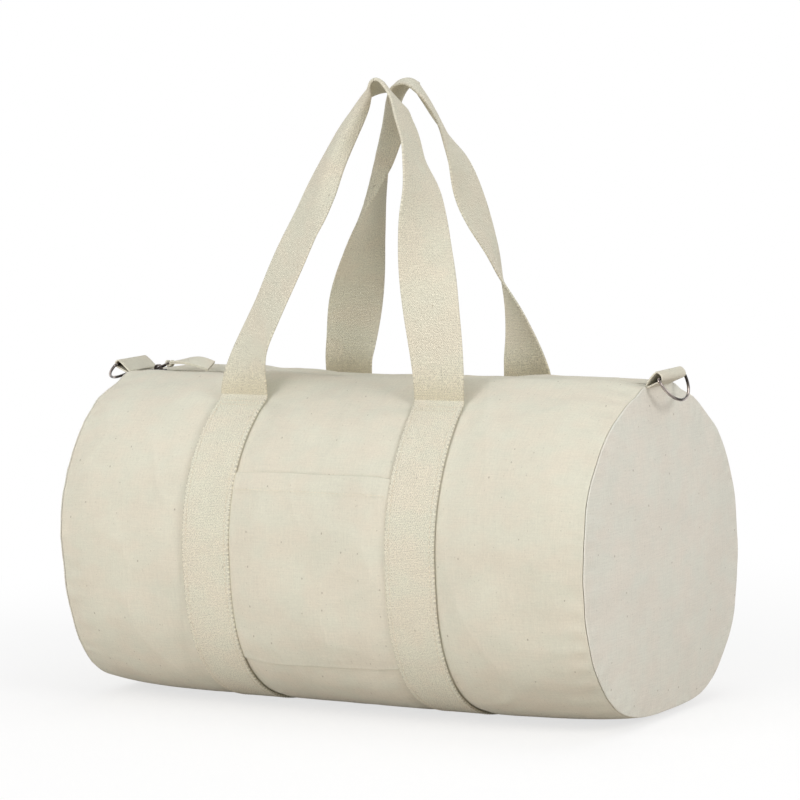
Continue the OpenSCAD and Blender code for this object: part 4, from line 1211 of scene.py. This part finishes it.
class BARRELBAG_OT_zip(bpy.types.Operator):
    """Zip tapes, teeth and stops"""
    bl_idname = "barrel_bag.zip"
    bl_label = "Zip"

    def execute(self, context):
        b, mats = barrel_of(context), finishes(context)
        z = Zip(b)
        x = np.linspace(-z.reach, z.reach, 220)
        y = np.array([0.15, 0.5, 1.2, 2, 3.5, 5, 7, 9, 11, 12.2, 12.8, 13.0])
        xs, ys = np.meshgrid(x, b.cord_y + y, indexing="ij")
        for side, name in ((-1, "front"), (1, "back")):
            grid = np.stack([xs, side * ys, b.tape_z + b.tape_t - 0.02 + 0 * xs], -1)
            Pile().shell(grid, flat_coords(xs, ys), b.tape_t - 0.06, flip=side < 0).build(
                name + "_tape", mats["Zip tape"], "bag", "zip_tape", name + "_zip_tape",
                flat=(2 * z.reach * MM, b.tape_w * MM), held="stretched", rests_on=["main_panel"])
            self.teeth(b, z, side).build(
                name + "_teeth", mats["Zip metal"], "bag", "zip_metal", name + "_zip_teeth", sharp=40)
            inner, outer = sorted((side * (b.cord_y - TOOTH_W), side * (b.cord_y + STOP_PAST)))
            self.stop(b, z.top_x, inner, outer, 0.4).build(
                name + "_top_stop", mats["Zip metal"], "bag", "zip_metal", name + "_zip_top_stop", sharp=50)
        reach = b.cord_y + STOP_PAST
        self.stop(b, z.bottom_x, -reach, reach, 0.45).build(
            "bottom_stop", mats["Zip metal"], "bag", "zip_metal", "zip_bottom_stop", sharp=50)
        return {"FINISHED"}

    def teeth(self, b, z, side):
        span = z.teeth_to - z.teeth_from - TOOTH_PITCH * 0.42
        count = int(round(span / TOOTH_PITCH))
        # reach in from the tip, half length and half height of one tooth
        shape = np.array([(0.0, 0.55, 0.55), (0.12, 0.72, 0.85), (0.45, 0.82, 1.0), (1.0, 0.78, 1.02),
                          (1.5, 0.66, 1.05), (1.75, 0.72, 1.2), (1.95, 0.83, 1.3), (2.75, 0.84, 1.3),
                          (2.95, 0.78, 1.2), (3.02, 0.6, 1.0)])
        w = np.radians(np.arange(12) * 30 + 15)
        super_round = np.stack([np.sign(v) * np.abs(v) ** 0.45 for v in (np.cos(w), np.sin(w))], -1)
        pile = Pile()
        for i in range(count + 1):
            mid = z.teeth_from + span * i / count + TOOTH_PITCH * 0.21
            rings = [np.stack([mid + hl * super_round[:, 0], np.full(12, side * (TEETH_GAP / 2 + r)),
                               b.chain_z + hh * super_round[:, 1]], -1) for r, hl, hh in shape]
            pile.loft(rings if side < 0 else [r[::-1] for r in rings])
        return pile

    def stop(self, b, x, inner, outer, edge):
        return Pile().box((x - STOP_LEN / 2, inner, b.chain_z - TOOTH_H / 2),
                          (x + STOP_LEN / 2, outer, b.chain_z + TOOTH_H / 2), edge)


class BARRELBAG_OT_slider(bpy.types.Operator):
    """Slider, its wire puller and the canvas tab tied to it"""
    bl_idname = "barrel_bag.slider"
    bl_label = "Slider and pull tab"

    def execute(self, context):
        b, mats = barrel_of(context), finishes(context)
        z = Zip(b)
        body = Pile()
        half = np.array([(-0.5, 0.22), (-0.49, 0.29), (-0.45, 0.34), (-0.36, 0.39), (-0.2, 0.43), (0, 0.485),
                         (0.12, 0.5), (0.3, 0.5), (0.38, 0.47), (0.44, 0.42), (0.48, 0.36), (0.5, 0.3)])
        half = half * (SLIDER_LEN, SLIDER_W)
        outline = np.concatenate([half * (1, -1), half[::-1]])
        bevel = 0.32
        bottom, top = b.chain_z - z.gap / 2, b.chain_z + z.gap / 2
        for low, high in ((bottom - PLATE_T, bottom), (top, top + PLATE_T)):
            rings = []
            for shrink, height in ((bevel, low), (0.1, low + 0.1), (0, low + bevel), (0, high - bevel),
                                   (0.1, high - 0.1), (bevel, high)):
                flat = outline * (1 - shrink / (SLIDER_W / 2))
                rings.append(np.concatenate([flat + (z.slider_x, 0), np.full((len(flat), 1), height)], 1))
            body.loft(rings)
        flange = SLIDER_W / 2 - b.cord_y - 0.8 - TURN_GAP
        flange_h = (z.gap - b.tape_t) / 2 - TURN_GAP
        for side in (-1, 1):
            y0, y1 = sorted((side * (SLIDER_W / 2 - flange), side * (SLIDER_W / 2 - 0.02)))
            for low, high in ((bottom - 0.5, bottom + flange_h), (top - flange_h, top + 0.5)):
                body.box((z.slider_x + 0.2, y0, low), (z.slider_x + SLIDER_LEN * 0.36, y1, high), 0.2, 2)
        post = (TEETH_GAP - 2 * TURN_GAP - LAY_GAP) / 2
        body.box((z.slider_x + SLIDER_LEN * 0.2, -post, bottom - 0.3),
                 (z.slider_x + SLIDER_LEN * 0.44, post, top + 0.3), 0.5)
        # the crown, a low bridge that the puller hangs in
        turn = np.radians(np.linspace(0, 180, 17))
        radius = z.crown_in / 2 + 1.1
        arch = np.stack([-radius * np.cos(turn), radius * np.sin(turn)], -1)
        arch = np.concatenate([[(-radius, -1.4), (-radius, -0.7)], arch, [(radius, -0.7), (radius, -1.4)]])
        wide = np.array([-1, -0.9, -0.6, 0, 0.6, 0.9, 1]) * 1.6
        x, up = arch[:, :1] + 0 * wide, arch[:, 1:] + 0 * wide
        grid = np.stack([z.pull_x + x, wide + 0 * x, z.pull_z + up], -1)
        body.shell(grid, grid, 1.08, flip=True)
        body.build("slider_body", mats["Zip metal"], "zip_slider", "zip_metal", "zip_slider", sharp=45)

        bend = PULL_WIRE * 1.15
        wide = 3.2 / 2 + bend
        tilt = math.radians(PULL_TILT)
        arc = np.radians(np.linspace(0, 90, 9))
        corner = np.stack([np.cos(arc), np.sin(arc)], -1) * bend
        loop = np.concatenate([(PULLER_LEN - bend, wide - bend) + corner,
                               (bend, wide - bend) + corner[:, ::-1] * (-1, 1),
                               (bend, bend - wide) + corner * (-1, -1),
                               (PULLER_LEN - bend, bend - wide) + corner[:, ::-1] * (1, -1)])
        wire = np.stack([z.pull_x + loop[:, 0] * math.cos(tilt), loop[:, 1],
                         z.pull_z + loop[:, 0] * math.sin(tilt)], -1)
        Pile().hoop(wire, PULL_WIRE / 2, sides=14).build(
            "puller_wire", mats["Zip metal"], "zip_puller", "zip_metal", "zip_puller")
        self.tab(z, mats)
        return {"FINISHED"}

    def tab(self, z, mats):
        """Two plies of canvas, folded along one long edge, arched, twisted and gathered round the wire."""
        tilt = math.radians(PULL_TILT)
        bar = np.array([z.pull_x + PULLER_LEN * math.cos(tilt), z.pull_z + PULLER_LEN * math.sin(tilt)])
        start = PULL_WIRE / 2 + 3 * TURN_GAP
        pile = Pile()
        t = np.concatenate([np.linspace(0, 0.16, 9)[:-1], np.linspace(0.16, 0.97, 38), [0.985, 1]])
        spine = np.stack([start + TAB_LEN * t, 3 * np.sin(np.pi * t) - 3 * t], -1)
        up = unit(np.stack([-np.gradient(spine[:, 1]), np.gradient(spine[:, 0])], -1))
        t = t[:, None]
        across = np.array([-1, -0.97, -0.9, -0.75, -0.5, -0.25, 0, 0.25, 0.5, 0.75, 0.9, 0.97, 1])
        y = across * (2.6 + (TAB_W / 2 - 2.6) * smooth(t / 0.2))
        twist = np.radians(27) * smooth(t / 0.75)
        thick = 1.05        # one ply, mm
        for ply, off, hollow in ((0, thick + 0.12, 0.14), (1, -0.06, -0.07)):
            base = spine + up * off
            grid = np.stack([bar[0] + base[:, :1] * (1 - 0.08 * t) + 0 * y, y * np.cos(twist) - 3 * t ** 2,
                             bar[1] + base[:, 1:] + y * np.sin(twist) + 1.6 * t ** 1.5
                             - hollow * across ** 2 * smooth(t / 0.3)], -1)
            pile.shell(grid, flat_coords(y, spine[:, :1], ply), thick)
        turn = np.radians(np.linspace(205, -25, 27) + 180)
        radius = PULL_WIRE / 2 + TURN_GAP + TAB_T
        y, turn = np.meshgrid(np.linspace(-1.5, 1.5, 7), turn)
        grid = np.stack([bar[0] + 0.15 + radius * np.cos(turn), y, bar[1] + radius * np.sin(turn)], -1)
        pile.shell(grid, grid, TAB_T - 0.15)
        pile.build("pull_tab_canvas", mats["Loop canvas"], "zip_pull_tab", "canvas", "zip_pull_tab",
                   flat=(2 * TAB_W * MM, TAB_LEN * MM), held="folded", rests_on=["zip_puller"])


OPERATORS = [BARRELBAG_OT_stage, BARRELBAG_OT_canvas, BARRELBAG_OT_ends, BARRELBAG_OT_bindings,
             BARRELBAG_OT_webbing, BARRELBAG_OT_pocket, BARRELBAG_OT_zip, BARRELBAG_OT_slider,
             BARRELBAG_OT_rings]


class BARRELBAG_PT_panel(bpy.types.Panel):
    """Sizes, colours and building steps of the bag"""
    bl_idname = "BARRELBAG_PT_panel"
    bl_label = "Barrel Bag"
    bl_space_type = "VIEW_3D"
    bl_region_type = "UI"
    bl_category = "Barrel Bag"

    def draw(self, context):
        for props in (context.scene.barrel_bag_sizes, context.scene.barrel_bag_colours):
            box = self.layout.box()
            for key in props.__annotations__:
                box.prop(props, key)
        for step in OPERATORS:
            self.layout.operator(step.bl_idname)


CLASSES = [BarrelBagSizes, BarrelBagColours, *OPERATORS, BARRELBAG_PT_panel]


def register():
    for cls in CLASSES:
        bpy.utils.register_class(cls)
    bpy.types.Scene.barrel_bag_sizes = bpy.props.PointerProperty(type=BarrelBagSizes)
    bpy.types.Scene.barrel_bag_colours = bpy.props.PointerProperty(type=BarrelBagColours)


def unregister():
    del bpy.types.Scene.barrel_bag_colours
    del bpy.types.Scene.barrel_bag_sizes
    for cls in reversed(CLASSES):
        bpy.utils.unregister_class(cls)


def plain(box):
    return [[float(v) for v in corner] for corner in box]


def main():
    register()
    for step in OPERATORS:
        space, name = step.bl_idname.split(".")
        getattr(getattr(bpy.ops, space), name)()


if __name__ == "__main__":
    main()
